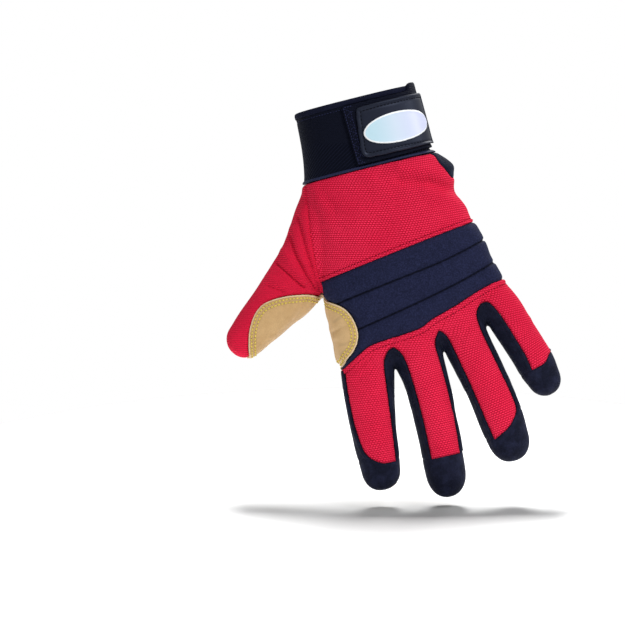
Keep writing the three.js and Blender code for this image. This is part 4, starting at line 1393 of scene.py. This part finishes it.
class GLOVE_OT_patch(bpy.types.Operator):
    """The moulded rubber patch on the strap and its plain oval badge."""

    bl_idname = "glove.patch"
    bl_label = "Rubber patch and badge"

    def execute(self, context):
        skin = cuff_skin()
        back = skin.c[:, 1] < CUFF_MIDDLE
        seam_row = 2.6

        def rim(p, d):
            return 0.6 * step_up(d, 0.5) * (1 - step_up(d - 1.3, 0.5)) - 0.3 * ridge(d, seam_row, 0.45)

        def dome(p, d):
            return 0.12 * ridge(d, 1.0, 0.4) - 0.3 * (1 - step_up(d, 0.7))

        patch = skin.piece(back & (outline_distance(skin.c[:, [0, 2]], rounded(PATCH, 2)) < 0))
        _, shown, d = sew(patch, "closure_patch", "moulded rubber", 1.2, rim, 3.5)
        black = []
        stitch(black, level_lines(shown, d, seam_row), 2.1, 1.6, 0.6, -0.08)
        stitches("patch_stitching", black, "black thread")
        shown.free()
        badge = skin.piece(back & (outline_distance(unrolled(skin.c), badge_outline()) < 0))
        _, shown, _ = sew(badge, "badge", "pale badge", 0.7, dome, 4.4)
        shown.free()
        return {"FINISHED"}


# Each lamp's place, the point that it shines at, its size and its power in watts.
LAMPS = {
    "key": ((0.95, -1.15, 0.85), (-0.02, 0, -0.12), 0.5, 17),
    "side": ((1.5, -0.3, 0.1), (0.03, 0, -0.12), 0.5, 5),
    "fill": ((-1.3, -1.2, 0.1), (0, 0, -0.12), 0.9, 2.2),
    "palm": ((1.0, 1.1, 0.8), (0, 0, -0.12), 0.6, 9),
    "floor light": ((0.26, 0.02, 1.1), (-0.02, 0, -0.2), 0.4, 85),
}


class GLOVE_OT_stage(bpy.types.Operator):
    """The pale floor, the soft lights and the camera."""

    bl_idname = "glove.stage"
    bl_label = "Stage"

    def execute(self, context):
        scene = context.scene
        up, right = Vector((math.sin(ROLL), 0, math.cos(ROLL))), Vector((math.cos(ROLL), 0, -math.sin(ROLL)))
        normal = Matrix.Rotation(math.radians(12), 3, right) @ up
        turn = Matrix((right, normal.cross(right), normal)).transposed().to_4x4()
        turn.translation = Vector((-0.02, 0.0, -0.12)) - up * 0.119
        bm = bmesh.new()
        bmesh.ops.create_circle(bm, cap_ends=True, segments=96, radius=0.32, matrix=turn)
        mesh = bpy.data.meshes.new("floor")
        bm.to_mesh(mesh)
        bm.free()
        floor = bpy.data.objects.new("floor", mesh)
        pale = bpy.data.materials.new("pale floor")
        Finish(pale).done(Base_Color=(0.3, 0.3, 0.3), Roughness=0.9, Specular_IOR_Level=0.1)
        mesh.materials.append(pale)
        scene.collection.objects.link(floor)

        scene.world = bpy.data.worlds.new("studio")
        sky = Finish(scene.world)
        sky.tree.nodes.clear()
        soft = sky.node("ShaderNodeBackground", {}, {"Color": (0.96, 0.98, 1), "Strength": 0.5})
        plain = sky.node("ShaderNodeBackground", {}, {"Color": (1, 1, 1), "Strength": 1})
        both = sky.node("ShaderNodeMixShader", {}, [sky.node("ShaderNodeLightPath"), soft, plain])
        sky.put(sky.tree.nodes.new("ShaderNodeOutputWorld").inputs[0], both)

        under = bpy.data.collections.new("under the glove")
        under.objects.link(floor)
        for name, (place, aim, size, power) in LAMPS.items():
            lamp = bpy.data.lights.new(name, "AREA")
            lamp.size, lamp.energy = size, power
            obj = bpy.data.objects.new(name, lamp)
            way = (Vector(aim) - Vector(place)).to_track_quat("-Z", "Y")
            obj.matrix_world = Matrix.Translation(place) @ way.to_matrix().to_4x4()
            scene.collection.objects.link(obj)
            if name == "floor light":
                obj.light_linking.receiver_collection = under

        lens = bpy.data.cameras.new("camera")
        lens.lens, lens.sensor_width, lens.clip_end = 219.3, 36, 20
        camera = bpy.data.objects.new("camera", lens)
        turn = Matrix((right, up, Vector((0, -1, 0)))).transposed().to_4x4()
        place = Vector((-0.0544, -2.2, -0.1141)) + up * 0.0008 - right * 0.0004
        camera.matrix_world = Matrix.Translation(place) @ turn
        scene.collection.objects.link(camera)
        scene.camera = camera
        scene.view_settings.view_transform = "Standard"
        return {"FINISHED"}


class GLOVE_PT_pieces(bpy.types.Panel):
    """The glove's sizes and colours, and a button for each group of pieces."""

    bl_idname = "GLOVE_PT_pieces"
    bl_label = "Rope rescue glove"
    bl_space_type = "VIEW_3D"
    bl_region_type = "UI"
    bl_category = "Glove"

    def draw(self, context):
        for group in (context.scene.glove_sizes, context.scene.glove_colours):
            for key in group.__annotations__:
                self.layout.prop(group, key)
        for step in STEPS:
            self.layout.operator(step.bl_idname)


STEPS = (GLOVE_OT_red_backs, GLOVE_OT_knuckle_bar, GLOVE_OT_dark_cloth, GLOVE_OT_leather, GLOVE_OT_cuff,
         GLOVE_OT_patch, GLOVE_OT_stage)
CLASSES = (GloveSizes, GloveColours, *STEPS, GLOVE_PT_pieces)


def register():
    for cls in CLASSES:
        bpy.utils.register_class(cls)
    bpy.types.Scene.glove_sizes = bpy.props.PointerProperty(type=GloveSizes)
    bpy.types.Scene.glove_colours = bpy.props.PointerProperty(type=GloveColours)


def unregister():
    del bpy.types.Scene.glove_colours
    del bpy.types.Scene.glove_sizes
    for cls in reversed(CLASSES):
        bpy.utils.unregister_class(cls)


def main():
    register()
    bpy.ops.glove.red_backs()
    bpy.ops.glove.knuckle_bar()
    bpy.ops.glove.dark_cloth()
    bpy.ops.glove.leather()
    bpy.ops.glove.cuff()
    bpy.ops.glove.patch()
    bpy.ops.glove.stage()


if __name__ == "__main__":
    main()
